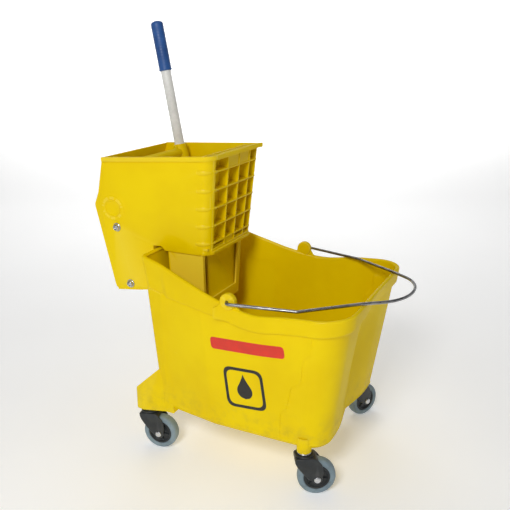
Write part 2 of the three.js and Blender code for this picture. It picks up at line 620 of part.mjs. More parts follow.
function leverBolt() {
  const { radius, grip, head, headTall, tail } = BOLT;
  const profile = [[0, -grip - headTall], [head, -grip - headTall], [head, -grip], [radius, -grip],
    [radius, grip + tail], [0, grip + tail]];
  return turned(profile, 12).rotateZ(-Math.PI / 2).translate(leverAt(BOLT.z), LEVER.y, BOLT.z);
}

function hexNut(acrossRadius, boreRadius, thick) {
  const hexagon = arc(0, 0, acrossRadius, 0, 300, 5);
  return extrude(shapeOf(hexagon, [arc(0, 0, boreRadius, 0, -330, 11)]), thick);
}

function leverNut() {
  return hexNut(BOLT.nut, BOLT.radius + FIT_GAP, BOLT.nutTall)
    .rotateY(Math.PI / 2).translate(leverAt(BOLT.z) + BOLT.grip, LEVER.y, BOLT.z);
}

// ---------------------------------------------------------------- rods, nuts and springs

function pivotShaft() {
  const half = wringerHalf(...PIVOT) - 2;
  return rodAlongY(PIVOT_RADIUS, ...PIVOT, -half, half, 16);
}

function crossRod(place) {
  const half = wringerHalf(...place) + 6;
  return rodAlongY(ROD_RADIUS, ...place, -half, half, 14);
}

function domeNut(place, side) {
  const bore = ROD_RADIUS + FIT_GAP;
  const nut = turned([[bore, 0], [7.5, 0], [7.5, 3], [6, 5.5], [bore, 6.5], [bore, 0]], 12);
  if (side < 0) nut.rotateX(Math.PI);
  return nut.translate(place[0], side * (wringerHalf(...place) + 1), place[1]);
}

function returnSpring(side) {
  const [x, z] = HINGE_ROD;
  const length = Math.hypot(TAIL[0] - x, TAIL[1] - z);
  const { coilRadius, coilWall, lowEnd, highEnd, y } = SPRING;
  const inner = coilRadius - coilWall;
  const profile = [[inner, lowEnd], [coilRadius, lowEnd], [coilRadius, length - highEnd],
    [inner, length - highEnd], [inner, lowEnd]];
  return turned(profile, 12).rotateX(Math.PI / 2).rotateY(Math.atan2(TAIL[0] - x, TAIL[1] - z))
    .translate(x, side * y, z);
}

// ---------------------------------------------------------------- casters

function tyre() {
  const [R, h, r] = [WHEEL_RADIUS, TYRE.half, TYRE.inner];
  const profile = [[r, -h + 1], [R - 5, -h], [R - 1, -h + 3.5], [R, -h + 8], [R, h - 8], [R - 1, h - 3.5],
    [R - 5, h], [r, h - 1], [r, -h + 1]];
  return turned(profile, 22);
}

function hub() {
  const [outer, bore] = [TYRE.inner - FIT_GAP, AXLE_RADIUS + FIT_GAP];
  const { half, boss, web, rim } = HUB;
  const lip = TYRE.half - 1;
  const profile = [[bore, -half], [boss, -half], [boss, -web], [rim, -web], [outer, -lip],
    [outer, lip], [rim, web], [boss, web], [boss, half], [bore, half], [bore, -half]];
  return turned(profile, 16);
}

function fork() {
  const { inner, outer, plateLow, plateHigh, bore } = FORK;
  const outline = [...FORK_REAR, ...arc(TRAIL, WHEEL_RADIUS, FORK_EYE, 215, 370, 6), ...FORK_FRONT];
  const body = solid(slabAlongY(outline, -outer, outer));
  const gap = solid(box(-WHEEL_RADIUS, TRAIL + WHEEL_RADIUS, -inner, inner, 0, plateLow));
  const axleHole = solid(rodAlongY(AXLE_RADIUS + FIT_GAP, TRAIL, WHEEL_RADIUS, -outer - 1, outer + 1, 12));
  const stemHole = solid(rodAlongZ(bore, 0, 0, plateLow - 1, plateHigh + 1, 14));
  return surface(cut(body, gap, axleHole, stemHole));
}

function raceway() {
  const [low, high] = [FORK.plateHigh + FIT_GAP, STEM.flangeLow - FIT_GAP];
  const profile = [[FORK.bore, low], [RACEWAY.low, low], [RACEWAY.high, low + 1.2], [RACEWAY.high - 1, high],
    [FORK.bore, high], [FORK.bore, low]];
  return turned(profile, 16).rotateX(Math.PI / 2);
}

function stem() {
  const { radius, head, headLow, flange, flangeLow, top } = STEM;
  const headHigh = FORK.plateLow - FIT_GAP;
  const flangeHigh = WING.baseZ - FIT_GAP;
  const profile = [[0, headLow], [head, headLow], [head, headHigh], [radius, headHigh], [radius, flangeLow],
    [flange, flangeLow], [flange, flangeHigh], [radius, flangeHigh], [radius, top - 2], [radius - 2, top],
    [0, top]];
  return turned(profile, 12).rotateX(Math.PI / 2);
}

function axle() {
  const under = FORK.outer + FIT_GAP;
  const head = [[0, -under - 3.4], [5, -under - 3.4], [6.8, -under - 2], [6.8, -under]];
  const profile = [...head, [AXLE_RADIUS, -under], [AXLE_RADIUS, under + 4.6], [0, under + 4.6]];
  return turned(profile, 12).translate(TRAIL, 0, WHEEL_RADIUS);
}

function axleNut() {
  return hexNut(7.4, AXLE_RADIUS + FIT_GAP, 3.6).rotateX(-Math.PI / 2)
    .translate(TRAIL, FORK.outer + FIT_GAP, WHEEL_RADIUS);
}

function caster(name, { x, y, heading }) {
  const place = new THREE.Group();
  place.position.set(x, y, 0);
  place.rotation.z = radians(heading);
  const wheelPlace = (geometry) => geometry.translate(TRAIL, 0, WHEEL_RADIUS);
  place.add(
    mesh(`caster_stem_${name}`, stem(), BRIGHT_STEEL()),
    mesh(`caster_raceway_${name}`, raceway(), BLACK_PLASTIC()),
    mesh(`caster_fork_${name}`, fork(), BLACK_PLASTIC()),
    mesh(`wheel_hub_${name}`, wheelPlace(hub()), BLACK_PLASTIC()),
    mesh(`wheel_tyre_${name}`, wheelPlace(tyre()), GREY_RUBBER()),
    mesh(`axle_bolt_${name}`, axle(), BRIGHT_STEEL()),
    mesh(`axle_nut_${name}`, axleNut(), BRIGHT_STEEL()));
  return place;
}

// ---------------------------------------------------------------- assembly

function mesh(name, geometry, finish) {
  const piece = new THREE.Mesh(geometry, finish);
  piece.name = name;
  return piece;
}

const assembly = new THREE.Group();
assembly.position.set(...CENTRE_SHIFT, 0);
assembly.add(
  mesh('bucket_shell', bucketShell(), YELLOW()),
  mesh('bail_handle', bailHandle(), WIRE_STEEL()),
  mesh('wringer_housing', wringerHousing(), YELLOW()),
  mesh('drain_sieve', drainSieve(), SHADED_YELLOW()),
  mesh('press_plate', pressPlate(), SHADED_YELLOW()),
  mesh('lever_yoke', leverYoke(), YELLOW()),
  mesh('lever_tube', leverTube(), WHITE_PAINT()),
  mesh('lever_grip', leverGrip(), BLUE_VINYL()),
  mesh('lever_bolt', leverBolt(), BRIGHT_STEEL()),
  mesh('lever_nut', leverNut(), BRIGHT_STEEL()),
  mesh('pivot_shaft', pivotShaft(), BRIGHT_STEEL()),
  mesh('tie_rod', crossRod(TIE_ROD), BRIGHT_STEEL()),
  mesh('hinge_rod', crossRod(HINGE_ROD), BRIGHT_STEEL()));
[['near', -1], ['far', 1]].forEach(([name, side]) => assembly.add(
  mesh(`tie_rod_nut_${name}`, domeNut(TIE_ROD, side), BRIGHT_STEEL()),
  mesh(`hinge_rod_nut_${name}`, domeNut(HINGE_ROD, side), BRIGHT_STEEL()),
  mesh(`return_spring_${name}`, returnSpring(side), WIRE_STEEL())));
Object.entries(CASTERS).forEach(([name, place]) => assembly.add(caster(name, place)));

export default assembly;
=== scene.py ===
"""Mop bucket with a side press wringer: the looks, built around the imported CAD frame.

Lengths in the geometry sections are in millimetres in the bucket's own frame, whose origin is on the floor
under the middle plane of the tub. ORIGIN carries them into the row frame.
"""

import json
import math

import bmesh
import bpy
import numpy as np
from mathutils import Matrix, Vector
from mathutils.bvhtree import BVHTree


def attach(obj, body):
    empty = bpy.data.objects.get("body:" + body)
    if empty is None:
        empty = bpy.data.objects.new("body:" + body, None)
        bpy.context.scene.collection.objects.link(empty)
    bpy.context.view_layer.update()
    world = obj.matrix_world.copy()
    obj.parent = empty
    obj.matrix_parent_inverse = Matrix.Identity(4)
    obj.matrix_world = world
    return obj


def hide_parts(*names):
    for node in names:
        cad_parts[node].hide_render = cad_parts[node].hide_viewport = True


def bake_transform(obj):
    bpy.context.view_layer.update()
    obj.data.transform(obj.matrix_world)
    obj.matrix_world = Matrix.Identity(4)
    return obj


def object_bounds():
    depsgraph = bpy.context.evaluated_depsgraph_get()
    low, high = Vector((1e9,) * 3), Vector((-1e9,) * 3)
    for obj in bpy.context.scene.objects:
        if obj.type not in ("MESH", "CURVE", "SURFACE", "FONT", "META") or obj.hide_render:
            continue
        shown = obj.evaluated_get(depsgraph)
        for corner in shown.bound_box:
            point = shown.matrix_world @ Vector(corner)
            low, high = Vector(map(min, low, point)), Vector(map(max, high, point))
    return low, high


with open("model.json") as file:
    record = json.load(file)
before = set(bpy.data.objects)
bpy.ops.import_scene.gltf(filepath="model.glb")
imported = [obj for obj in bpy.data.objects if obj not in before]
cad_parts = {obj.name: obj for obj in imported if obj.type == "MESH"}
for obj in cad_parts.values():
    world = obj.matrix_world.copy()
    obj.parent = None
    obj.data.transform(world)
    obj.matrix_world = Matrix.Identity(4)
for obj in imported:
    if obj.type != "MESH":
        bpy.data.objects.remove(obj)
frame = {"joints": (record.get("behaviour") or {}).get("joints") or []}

CAD_BOX = [list(corner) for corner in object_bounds()]
JOINTS = {joint["name"]: joint for joint in frame["joints"]}
MM = 0.001
CASTERS = ("front_right", "front_left", "rear_right", "rear_left")

# ---------------------------------------------------------------- driving dimensions, in mm

WALL = 4.0
FLOOR_Z = 98.0
BOTTOM = dict(rear=-160, front=213, rear_radius=14, front_radius=46,
              rear_half=(-138, 149), sides=[(-25, 168.3), (60, 169.5), (165, 170)])
TOP = dict(rear=-189, front=255, rear_radius=13, front_radius=58,
           rear_half=(-164, 159), sides=[(-47, 178.3), (34, 190), (95, 198), (197, 200)])
RIM_HEIGHTS = [(-189, 438), (-150, 430), (-80, 407), (-9, 385), (78, 371), (141, 378.5), (215, 383),
               (256, 385)]
BAND_TALL = [(-189, 66), (-135, 65), (-74, 50), (-4, 35), (256, 33)]
BAND_PROUD = 5.0
BAND_END_X = -137
# The creased flute down the pour end: its share at distances from the middle, and its depth up the wall.
FLUTE_SHARES = [(0, 1), (27, 0.68), (52, 0.36), (78, 0.1), (102, 0)]
FLUTE_DEPTHS = [(0, 14), (0.72, 20), (0.865, 10), (1, 0)]
# The mould's seam and the crease behind it, as (height, X) up the wall.
SEAM = [(98, 121), (108, 121), (169, 125), (182, 138), (231, 149), (244, 168), (297, 175), (310, 190),
        (360, 193)]
CREASE = [(95, -25), (343, -42)]

WING = dict(back=-220, inside=112, outside=164, lip_z=138, slope_x=-162, slope_z=190, base_z=92)
EAR = dict(x=24, z=387, radius=16, inner=185, outer=198, pin_inner=187)
BAIL = dict(radius=3, arm_y=204, kink=(156, 179, 383.5), bend=(250, 106), nose=324, rest_z=389.5)
PIVOT, TIE_ROD, HINGE_ROD = (-288, 516), (-282, 475), (-263, 349)
CROSSBAR = dict(x=-237, z=609, radius=11)
LEVER = dict(y=83, lean=math.radians(10.6), top=891, radius=11, grip=13.8, grip_length=106)
TRAIL, WHEEL_RADIUS = 25, 38
# Radii of the holes for rods and axles, the pivot, the bail's pins, the caster stems, the lever's bolt and
# the springs' hooks.
ROD_HOLE, PIVOT_HOLE, PIN_HOLE, STEM_HOLE, BOLT_HOLE, SPRING_HOLE = 4.3, 6.3, 3.6, 5.8, 3.3, 2.5

# The bail's hinge places the bucket's own frame in the row frame.
ORIGIN = Vector(JOINTS["bail_swing"]["pos_m"]) - Vector((EAR["x"], 0, EAR["z"])) * MM

# ---------------------------------------------------------------- mesh helpers


def to_row(points):
    return [ORIGIN + Vector(point) * MM for point in points]


def new_object(name, points, faces, in_row_frame=False):
    """A mesh object from points in mm, or already in metres in the row frame."""
    mesh = bpy.data.meshes.new(name)
    mesh.from_pydata([tuple(p) for p in (points if in_row_frame else to_row(points))], [], faces)
    mesh.validate()
    item = bpy.data.objects.new(name, mesh)
    bpy.context.scene.collection.objects.link(item)
    return item


MOST_REACH = 0.49  # of the shorter side of a corner


def arc(centre_u, centre_v, radius, start, end, steps):
    """Points on an arc, with its angles in degrees."""
    angles = np.radians(np.linspace(start, end, steps + 1))
    return [(centre_u + radius * math.cos(a), centre_v + radius * math.sin(a)) for a in angles]


def corner_curve(before, corner, after, reach, steps):
    """Points on the curve that rounds a corner, starting a given reach before it."""
    reach = min(reach, (before - corner).length * MOST_REACH, (after - corner).length * MOST_REACH)
    start = corner + (before - corner).normalized() * reach
    end = corner + (after - corner).normalized() * reach
    shares = [k / steps for k in range(steps + 1)]
    return [start * (1 - t) ** 2 + corner * 2 * t * (1 - t) + end * t * t for t in shares]


def bend_reach(before, corner, after, radius):
    """How far from a corner its bend starts."""
    to_before, to_after = (before - corner).normalized(), (after - corner).normalized()
    return radius / math.tan(math.acos(max(-1, min(1, to_before.dot(to_after)))) / 2)


def rounded(points, radii, steps=5):
    """An outline whose corners are rounded. radii is one number or one for each corner."""
    count = len(points)
    radii = [radii] * count if isinstance(radii, (int, float)) else radii
    result = []
    for i, radius in enumerate(radii):
        corners = [Vector(points[(i + k) % count]) for k in (-1, 0, 1)]
        if radius > 0:
            curve = corner_curve(*corners, bend_reach(*corners, radius), steps)
            result += [tuple(point) for point in curve]
        else:
            result.append(tuple(corners[1]))
    return result


def prism(outline, low, high, along="Y", bevel=0.0, segments=2, turn=None):
    """A closed solid from an outline: (X, Z) carried along Y, (Y, Z) along X or (X, Y) along Z."""
    place = {
        "Y": lambda u, v, w: (u, w, v),
        "X": lambda u, v, w: (w, u, v),
        "Z": lambda u, v, w: (u, v, w),
    }[along]
    count = len(outline)
    form = bmesh.new()
    low_ring = [form.verts.new(place(u, v, low)) for u, v in outline]
    high_ring = [form.verts.new(place(u, v, high)) for u, v in outline]
    form.faces.new(low_ring)
    form.faces.new(high_ring[::-1])
    for i in range(count):
        j = (i + 1) % count
        form.faces.new((low_ring[j], low_ring[i], high_ring[i], high_ring[j]))
    finish_form(form, bevel, segments)
    if turn is not None:
        form.transform(turn)
    return form


def finish_form(form, bevel, segments, limit=math.radians(32)):
    bmesh.ops.recalc_face_normals(form, faces=form.faces)
    if bevel > 0:
        edges = [e for e in form.edges if len(e.link_faces) == 2 and e.calc_face_angle(0) > limit]
        bmesh.ops.bevel(form, geom=edges, offset=bevel, segments=segments, profile=0.5, affect="EDGES",
                        clamp_overlap=True)
        bmesh.ops.recalc_face_normals(form, faces=form.faces)


def block(low, high, bevel=0.0, segments=2, turn=None):
    (x0, y0, z0), (x1, y1, z1) = low, high
    return prism([(x0, z0), (x1, z0), (x1, z1), (x0, z1)], y0, y1, "Y", bevel, segments, turn)


def lathe(profile, sides=48, turn=None):
    """A closed solid turned about Z, from (radius, height) points that start and end on the axis or close."""
    closed = profile[0] == profile[-1]
    points = profile[:-1] if closed else profile
    form = bmesh.new()
    rings = []
    for radius, height in points:
        if radius < 1e-6:
            rings.append([form.verts.new((0, 0, height))] * sides)
            continue
        rings.append([form.verts.new((radius * math.cos(a), radius * math.sin(a), height))
                      for a in np.linspace(0, 2 * math.pi, sides, endpoint=False)])
    pairs = list(zip(rings, rings[1:] + rings[:1])) if closed else list(zip(rings, rings[1:]))
    for lower, upper in pairs:
        for i in range(sides):
            j = (i + 1) % sides
            corners = []
            for vert in (lower[i], lower[j], upper[j], upper[i]):
                if vert not in corners:
                    corners.append(vert)
            if len(corners) > 2:
                form.faces.new(corners)
    bmesh.ops.recalc_face_normals(form, faces=form.faces)
    if turn is not None:
        form.transform(turn)
    return form


def rounded_profile(points, radius=0.8, steps=3):
    """A turned profile whose inner corners are rounded; its first and last points stay."""
    result = [points[0]]
    for corners in zip(points, points[1:], points[2:]):
        curve = corner_curve(*[Vector(point) for point in corners], radius, steps)
        result += [tuple(point) for point in curve]
    return result + [points[-1]]


def ring_profile(points, radius=0.8, steps=3):
    """The same for a profile that closes on itself."""
    loop = rounded(points, radius, steps)
    return loop + [loop[0]]


def along_y(x, z):
    """Carries a solid turned about Z onto an axle along +Y."""
    return Matrix.Translation((x, 0, z)) @ Matrix.Rotation(-math.pi / 2, 4, "X")


def cylinder(radius, low, high, sides=40, turn=None, bevel=0.0):
    profile = [(0, low), (radius, low), (radius, high), (0, high)]
    return lathe(rounded_profile(profile, bevel) if bevel > 0 else profile, sides, turn)


def cylinder_y(radius, x, z, low, high, bevel=0.0, sides=40):
    return cylinder(radius, low, high, sides, along_y(x, z), bevel)


def bent(form, bend):
    """Moves every point of a solid by a function of its place."""
    for vert in form.verts:
        vert.co = bend(vert.co)
    return form


def as_object(form, name):
    for vert in form.verts:
        vert.co = ORIGIN + vert.co * MM
    mesh = bpy.data.meshes.new(name)
    form.to_mesh(mesh)
    form.free()
    item = bpy.data.objects.new(name, mesh)
    bpy.context.scene.collection.objects.link(item)
    return item


def combined(base, others, operation, name):
    """Joins solids to a base, or cuts them from it, with one boolean."""
    for index, form in enumerate(others):
        tool = form if isinstance(form, bpy.types.Object) else as_object(form, f"{name}_tool_{index}")
        modifier = base.modifiers.new("join", "BOOLEAN")
        modifier.operation, modifier.solver, modifier.object = operation, "MANIFOLD", tool
        baked = bpy.data.meshes.new_from_object(base.evaluated_get(bpy.context.evaluated_depsgraph_get()))
        base.modifiers.clear()
        stale, base.data = base.data, baked
        bpy.data.meshes.remove(stale)
        bpy.data.objects.remove(tool)
    return base


def union(forms, name):
    base = as_object(forms[0], name)
    return combined(base, forms[1:], "UNION", name)


def subtract(base, forms):
    return combined(base, forms, "DIFFERENCE", base.name)


def smooth(item, angle=32):
    for polygon in item.data.polygons:
        polygon.use_smooth = True
    item.data.set_sharp_from_angle(angle=math.radians(angle))
    return item


def piece(item, body, material, *nodes, angle=32):
    """Finishes a piece: its shading, its body, its material and slot, and the CAD nodes it stands for."""
    smooth(item, angle)
    item.data.materials.clear()
    item.data.materials.append(material)
    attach(item, body)
    if nodes:
        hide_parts(*nodes)
    return item


def turned_piece(name, profile, sides, turn, body, material, *nodes, angle=40):
    piece(as_object(lathe(profile, sides, turn), name), body, material, *nodes, angle=angle)


def smooth_at(table, places):
    """A smooth curve through (place, value) points."""
    places = np.atleast_1d(np.asarray(places, float))
    x, y = (np.array(column, float) for column in zip(*table))
    slopes = np.gradient(y, x)
    slopes[0], slopes[-1] = (y[1] - y[0]) / (x[1] - x[0]), (y[-1] - y[-2]) / (x[-1] - x[-2])
    i = np.clip(np.searchsorted(x, places, side="right") - 1, 0, len(x) - 2)
    span = x[i + 1] - x[i]
    t = np.clip((places - x[i]) / span, 0, 1)
    return ((2 * t**3 - 3 * t**2 + 1) * y[i] + (t**3 - 2 * t**2 + t) * span * slopes[i]
            + (3 * t**2 - 2 * t**3) * y[i + 1] + (t**3 - t**2) * span * slopes[i + 1])


def step(value):
    """0 below 0, 1 above 1 and smooth between."""
    t = np.clip(value, 0, 1)
    return t * t * (3 - 2 * t)


# ---------------------------------------------------------------- materials


class Nodes:
    """A short way to write a shader's nodes."""

    def __init__(self, name):
        self.material = bpy.data.materials.new(name)
        self.material.use_nodes = True
        self.tree = self.material.node_tree
        self.shader = self.tree.nodes["Principled BSDF"]
        self.place = self.add("ShaderNodeTexCoord").outputs["Object"]

    def add(self, kind, **settings):
        node = self.tree.nodes.new(kind)
        for key, value in settings.items():
            setattr(node, key, value)
        return node

    def link(self, source, target):
        self.tree.links.new(source, target)

    def noise(self, scale, detail=4.0, roughness=0.55, stretch=(1, 1, 1)):
        mapping = self.add("ShaderNodeMapping")
        mapping.inputs["Scale"].default_value = stretch
        self.link(self.place, mapping.inputs["Vector"])
        noise = self.add("ShaderNodeTexNoise")
        noise.inputs["Scale"].default_value = scale
        noise.inputs["Detail"].default_value = detail
        noise.inputs["Roughness"].default_value = roughness
        self.link(mapping.outputs["Vector"], noise.inputs["Vector"])
        return noise.outputs["Fac"]

    def ramp(self, source, stops):
        ramp = self.add("ShaderNodeValToRGB")
        ramp.color_ramp.interpolation = "EASE"
        for element, (position, color) in zip(ramp.color_ramp.elements, stops):
            element.position = position
            element.color = (*color, 1)
        self.link(source, ramp.inputs["Fac"])
        return ramp.outputs["Color"]

    def tones(self, scale, detail, dark, light):
        """Two colours that drift into each other."""
        return self.ramp(self.noise(scale, detail), [(0.3, dark), (0.7, light)])

    def patches(self, source, low, high, most):
        """0 where the noise is under low, and most where it is over high."""
        return self.ramp(source, [(low, (0.0,) * 3), (high, (most,) * 3)])

    def uneven(self, source, low, high):
        """A value that wanders between low and high with the noise."""
        return self.span(source, 0.3, 0.7, low, high)

    def mix(self, factor, first, second):
        mix = self.add("ShaderNodeMix", data_type="RGBA")
        for key, value in (("Factor", factor), (6, first), (7, second)):
            if isinstance(value, bpy.types.NodeSocket):
                self.link(value, mix.inputs[key])
            else:
                mix.inputs[key].default_value = (*value, 1)
        return mix.outputs[2]

    def math(self, operation, first, second=0.5):
        node = self.add("ShaderNodeMath", operation=operation)
        for socket, value in ((node.inputs[0], first), (node.inputs[1], second)):
            if isinstance(value, bpy.types.NodeSocket):
                self.link(value, socket)
            else:
                socket.default_value = value
        return node.outputs[0]

    def span(self, source, low, high, to_low=0.0, to_high=1.0):
        node = self.add("ShaderNodeMapRange", interpolation_type="SMOOTHSTEP")
        for key, value in zip(("From Min", "From Max", "To Min", "To Max"), (low, high, to_low, to_high)):
            node.inputs[key].default_value = value
        self.link(source, node.inputs["Value"])
        return node.outputs["Result"]

    def edges(self, low, high):
        """1 on worn convex edges, 0 elsewhere."""
        return self.span(self.add("ShaderNodeNewGeometry").outputs["Pointiness"], low, high)

    def height(self, low, high):
        """0 below the low height and 1 above the high one, in metres."""
        split = self.add("ShaderNodeSeparateXYZ")
        self.link(self.place, split.inputs["Vector"])
        return self.span(split.outputs["Z"], low, high)

    def bump(self, source, strength, distance, after=None):
        node = self.add("ShaderNodeBump")
        node.inputs["Strength"].default_value = strength
        node.inputs["Distance"].default_value = distance
        self.link(source, node.inputs["Height"])
        if after is not None:
            self.link(after, node.inputs["Normal"])
        return node.outputs["Normal"]

    def finish(self, color, rough, normal=None, metallic=0.0, specular=0.5, coat=0.0, coat_rough=0.1):
        self.link(color, self.shader.inputs["Base Color"])
        self.link(rough, self.shader.inputs["Roughness"])
        if normal is not None:
            self.link(normal, self.shader.inputs["Normal"])
        self.shader.inputs["Metallic"].default_value = metallic
        self.shader.inputs["Specular IOR Level"].default_value = specular
        self.shader.inputs["Coat Weight"].default_value = coat
        self.shader.inputs["Coat Roughness"].default_value = coat_rough
        return self.material


def yellow_plastic(name, tint=(1, 1), dirt=1.0):
    """Injection-moulded yellow: slow colour drift, fine grain, faint scuffs, paler edges and grime low down.

    tint multiplies its red and green; a saturated yellow has no blue to multiply.
    """
    n = Nodes(name)
    red, green = tint
    color = n.tones(7, 3, (0.80 * red, 0.565 * green, 0.0), (0.86 * red, 0.635 * green, 0.0))
    flow = n.noise(16, 2, stretch=(1, 1, 0.16))
    color = n.mix(n.patches(flow, 0.45, 0.75, 0.16), color, (0.89, 0.67, 0.002))
    scuffs = n.noise(260, 5, 0.7, stretch=(0.16, 0.16, 1.0))
    scuff_mask = n.math("MULTIPLY", n.patches(scuffs, 0.60, 0.74, 0.5),
                        n.patches(n.noise(11, 2), 0.5, 0.68, 1.0))
    color = n.mix(n.math("MULTIPLY", scuff_mask, 0.5), color, (0.90, 0.74, 0.10))
    color = n.mix(n.math("MULTIPLY", n.edges(0.515, 0.575), 0.35), color, (0.93, 0.75, 0.10))
    low = n.math("SUBTRACT", 1.0, n.height(0.09, 0.20))
    grime = n.math("MULTIPLY", low, n.patches(n.noise(34, 6, 0.65), 0.42, 0.72, 0.30 * dirt))
    color = n.mix(grime, color, (0.30, 0.20, 0.05))
    rough = n.uneven(n.noise(48, 5), 0.30, 0.40)
    rough = n.math("ADD", rough, n.math("MULTIPLY", scuff_mask, 0.22))
    grain = n.bump(n.noise(1500, 2), 0.10, 0.0004)
    peel = n.bump(n.noise(85, 3), 0.10, 0.0012, grain)
    return n.finish(color, rough, peel, specular=0.0, coat=0.25, coat_rough=0.24)


def worn_surface(name, tones, marks, rough, grain, edge=None, **shader):
    """Two drifting tones under layers of marks, with lighter edges, an uneven gloss and a fine grain.

    Each mark is (noise, low, high, most, color), and edge is (strength, color).
    """
    n = Nodes(name)
    color = n.tones(*tones)
    for noise, low, high, most, mark in marks:
        color = n.mix(n.patches(n.noise(*noise), low, high, most), color, mark)
    if edge is not None:
        strength, pale = edge
        color = n.mix(n.math("MULTIPLY", n.edges(0.52, 0.60), strength), color, pale)
    scale, detail, smooth_end, rough_end = rough
    gloss = n.uneven(n.noise(scale, detail), smooth_end, rough_end)
    scale, detail, strength, distance = grain
    return n.finish(color, gloss, n.bump(n.noise(scale, detail), strength, distance), **shader)


def black_plastic(name):
    return worn_surface(name, (40, 4, (0.010, 0.013, 0.015), (0.022, 0.027, 0.030)),
                        [((22, 6, 0.65), 0.48, 0.75, 0.35, (0.085, 0.085, 0.080))],
                        (80, 5, 0.34, 0.50), (1100, 2, 0.16, 0.0005), (0.5, (0.11, 0.115, 0.12)))


def steel(name, light, dark, rough_low, rough_high, grain=(1, 1, 1), spots=0.3):
    n = Nodes(name)
    color = n.tones(60, 5, dark, light)
    dull = n.patches(n.noise(230, 7, 0.7), 0.58, 0.74, spots)
    color = n.mix(dull, color, (0.20, 0.17, 0.14))
    rough = n.uneven(n.noise(140, 6, stretch=grain), rough_low, rough_high)
    rough = n.math("ADD", rough, n.math("MULTIPLY", dull, 0.3))
    return n.finish(color, rough, n.bump(n.noise(900, 3, stretch=grain), 0.10, 0.0003), metallic=1.0)


def printed_ink(name, color, worn):
    """Screen-printed ink, slightly broken up by use."""
    return worn_surface(name, (60, 4, tuple(0.88 * c for c in color), color),
                        [((420, 6, 0.75), 0.66, 0.76, 0.5, worn)],
                        (120, 4, 0.40, 0.55), (900, 2, 0.10, 0.0003))


YELLOW = yellow_plastic("yellow_plastic")
YELLOW_WRINGER = yellow_plastic("yellow_plastic_wringer", tint=(1.0, 0.99), dirt=0.4)
# A darker, more orange copy of the yellow, a painted shade for the parts down in the wringer's chamber: the
# sieve and the press plate.
YELLOW_PAINTED_SHADE = yellow_plastic("yellow_plastic_painted_shade", tint=(0.97, 0.93), dirt=0.6)
WHITE_PAINT = worn_surface(
    "white_powder_coat", (30, 4, (0.70, 0.70, 0.67), (0.78, 0.78, 0.75)),
    [((150, 6, 0.7, (1, 1, 0.3)), 0.64, 0.76, 0.45, (0.42, 0.41, 0.38))],
    (90, 4, 0.22, 0.34), (420, 2, 0.08, 0.0004), coat=0.3, coat_rough=0.12)
BLUE_VINYL = worn_surface(
    "blue_vinyl", (26, 4, (0.010, 0.058, 0.215), (0.018, 0.088, 0.300)),
    [((120, 6, 0.7, (1, 1, 0.4)), 0.58, 0.75, 0.5, (0.075, 0.17, 0.40))],
    (70, 5, 0.36, 0.54), (900, 3, 0.18, 0.0005), (0.4, (0.10, 0.21, 0.45)), specular=0.45)
BLACK = black_plastic("black_plastic")
BLACK_HUB = black_plastic("black_hub")
RUBBER = worn_surface(
    "grey_rubber", (30, 4, (0.170, 0.235, 0.275), (0.250, 0.325, 0.365)),
    [((70, 8, 0.7), 0.50, 0.72, 0.55, (0.105, 0.105, 0.095)),
     ((500, 4, 0.7), 0.62, 0.72, 0.4, (0.06, 0.055, 0.05))],
    (110, 5, 0.50, 0.68), (700, 4, 0.22, 0.0005), specular=0.4)
ZINC = steel("bright_zinc", (0.66, 0.67, 0.69), (0.50, 0.51, 0.53), 0.20, 0.34)
WIRE = steel("drawn_wire", (0.36, 0.36, 0.37), (0.22, 0.22, 0.23), 0.24, 0.40, (0.3, 0.3, 1), 0.5)
RED_INK = printed_ink("red_ink", (0.74, 0.030, 0.012), (0.82, 0.40, 0.02))
BLACK_INK = printed_ink("black_ink", (0.012, 0.011, 0.010), (0.30, 0.22, 0.02))

# ---------------------------------------------------------------- bucket

BAND_ROWS, WALL_ROWS = 6, 64
FILLET = 16.0
LIP = 4  # height of the rim's round top


def side_half(level, x):
    """Half-width of the tub's side: straight behind its crease, and curved in front of it."""
    (rear_x, rear_y), (crease_x, crease_y) = level["rear_half"], level["sides"][0]
    behind = rear_y + (x - rear_x) * (crease_y - rear_y) / (crease_x - rear_x)
    return np.where(x < crease_x, behind, smooth_at(level["sides"], x))


def half_outline(level, grow):
    """Plan of one side, from the middle of the rear wall to the middle of the pour end, as (x, y >= 0)."""
    rear, front = level["rear"] - grow, level["front"] + grow
    rear_radius, front_radius = level["rear_radius"] + grow / 2, level["front_radius"] + grow
    rear_x, front_x = rear + rear_radius, front - front_radius
    rear_y = float(side_half(level, np.array([rear_x]))[0]) + grow - rear_radius
    front_y = float(side_half(level, np.array([front_x]))[0]) + grow - front_radius
    crease = level["sides"][0][0]
    side_x = np.concatenate([
        np.linspace(rear_x, crease, 24)[1:],
        crease + (front_x - crease) * np.linspace(0, 0.52, 22)[1:],
        crease + (front_x - crease) * np.linspace(0.52, 1, 66)[1:]])
    rear_arc = np.array(arc(rear_x, rear_y, rear_radius, 180, 90, 9))
    front_arc = np.array(arc(front_x, front_y, front_radius, 90, 0, 16))
    rear_flat = np.column_stack([np.full(4, rear), np.linspace(0, rear_y, 5)[:-1]])
    sides = np.column_stack([side_x[:-1], side_half(level, side_x[:-1]) + grow])
    flute_y = FLUTE_SHARES[-1][0]
    flat_y = np.concatenate([np.linspace(front_y, flute_y, 4)[1:], np.linspace(flute_y, 0, 25)[1:]])
    front_flat = np.column_stack([np.full(len(flat_y), front), flat_y])
    return np.vstack([rear_flat, rear_arc, sides, front_arc, front_flat])


LOW_0, LOW_1 = half_outline(BOTTOM, 0), half_outline(BOTTOM, 1)
TOP_0, TOP_1 = half_outline(TOP, 0), half_outline(TOP, 1)
RIM = smooth_at(RIM_HEIGHTS, np.clip(TOP_0[:, 0], TOP["rear"], TOP["front"]))
ON_FRONT = TOP_0[:, 0] >= TOP["front"] - 1e-6
FLUTE = np.where(ON_FRONT, smooth_at(FLUTE_SHARES, np.clip(TOP_0[:, 1], 0, FLUTE_SHARES[-1][0])), 0)
BAND = np.interp(TOP_0[:, 0], *zip(*BAND_TALL))
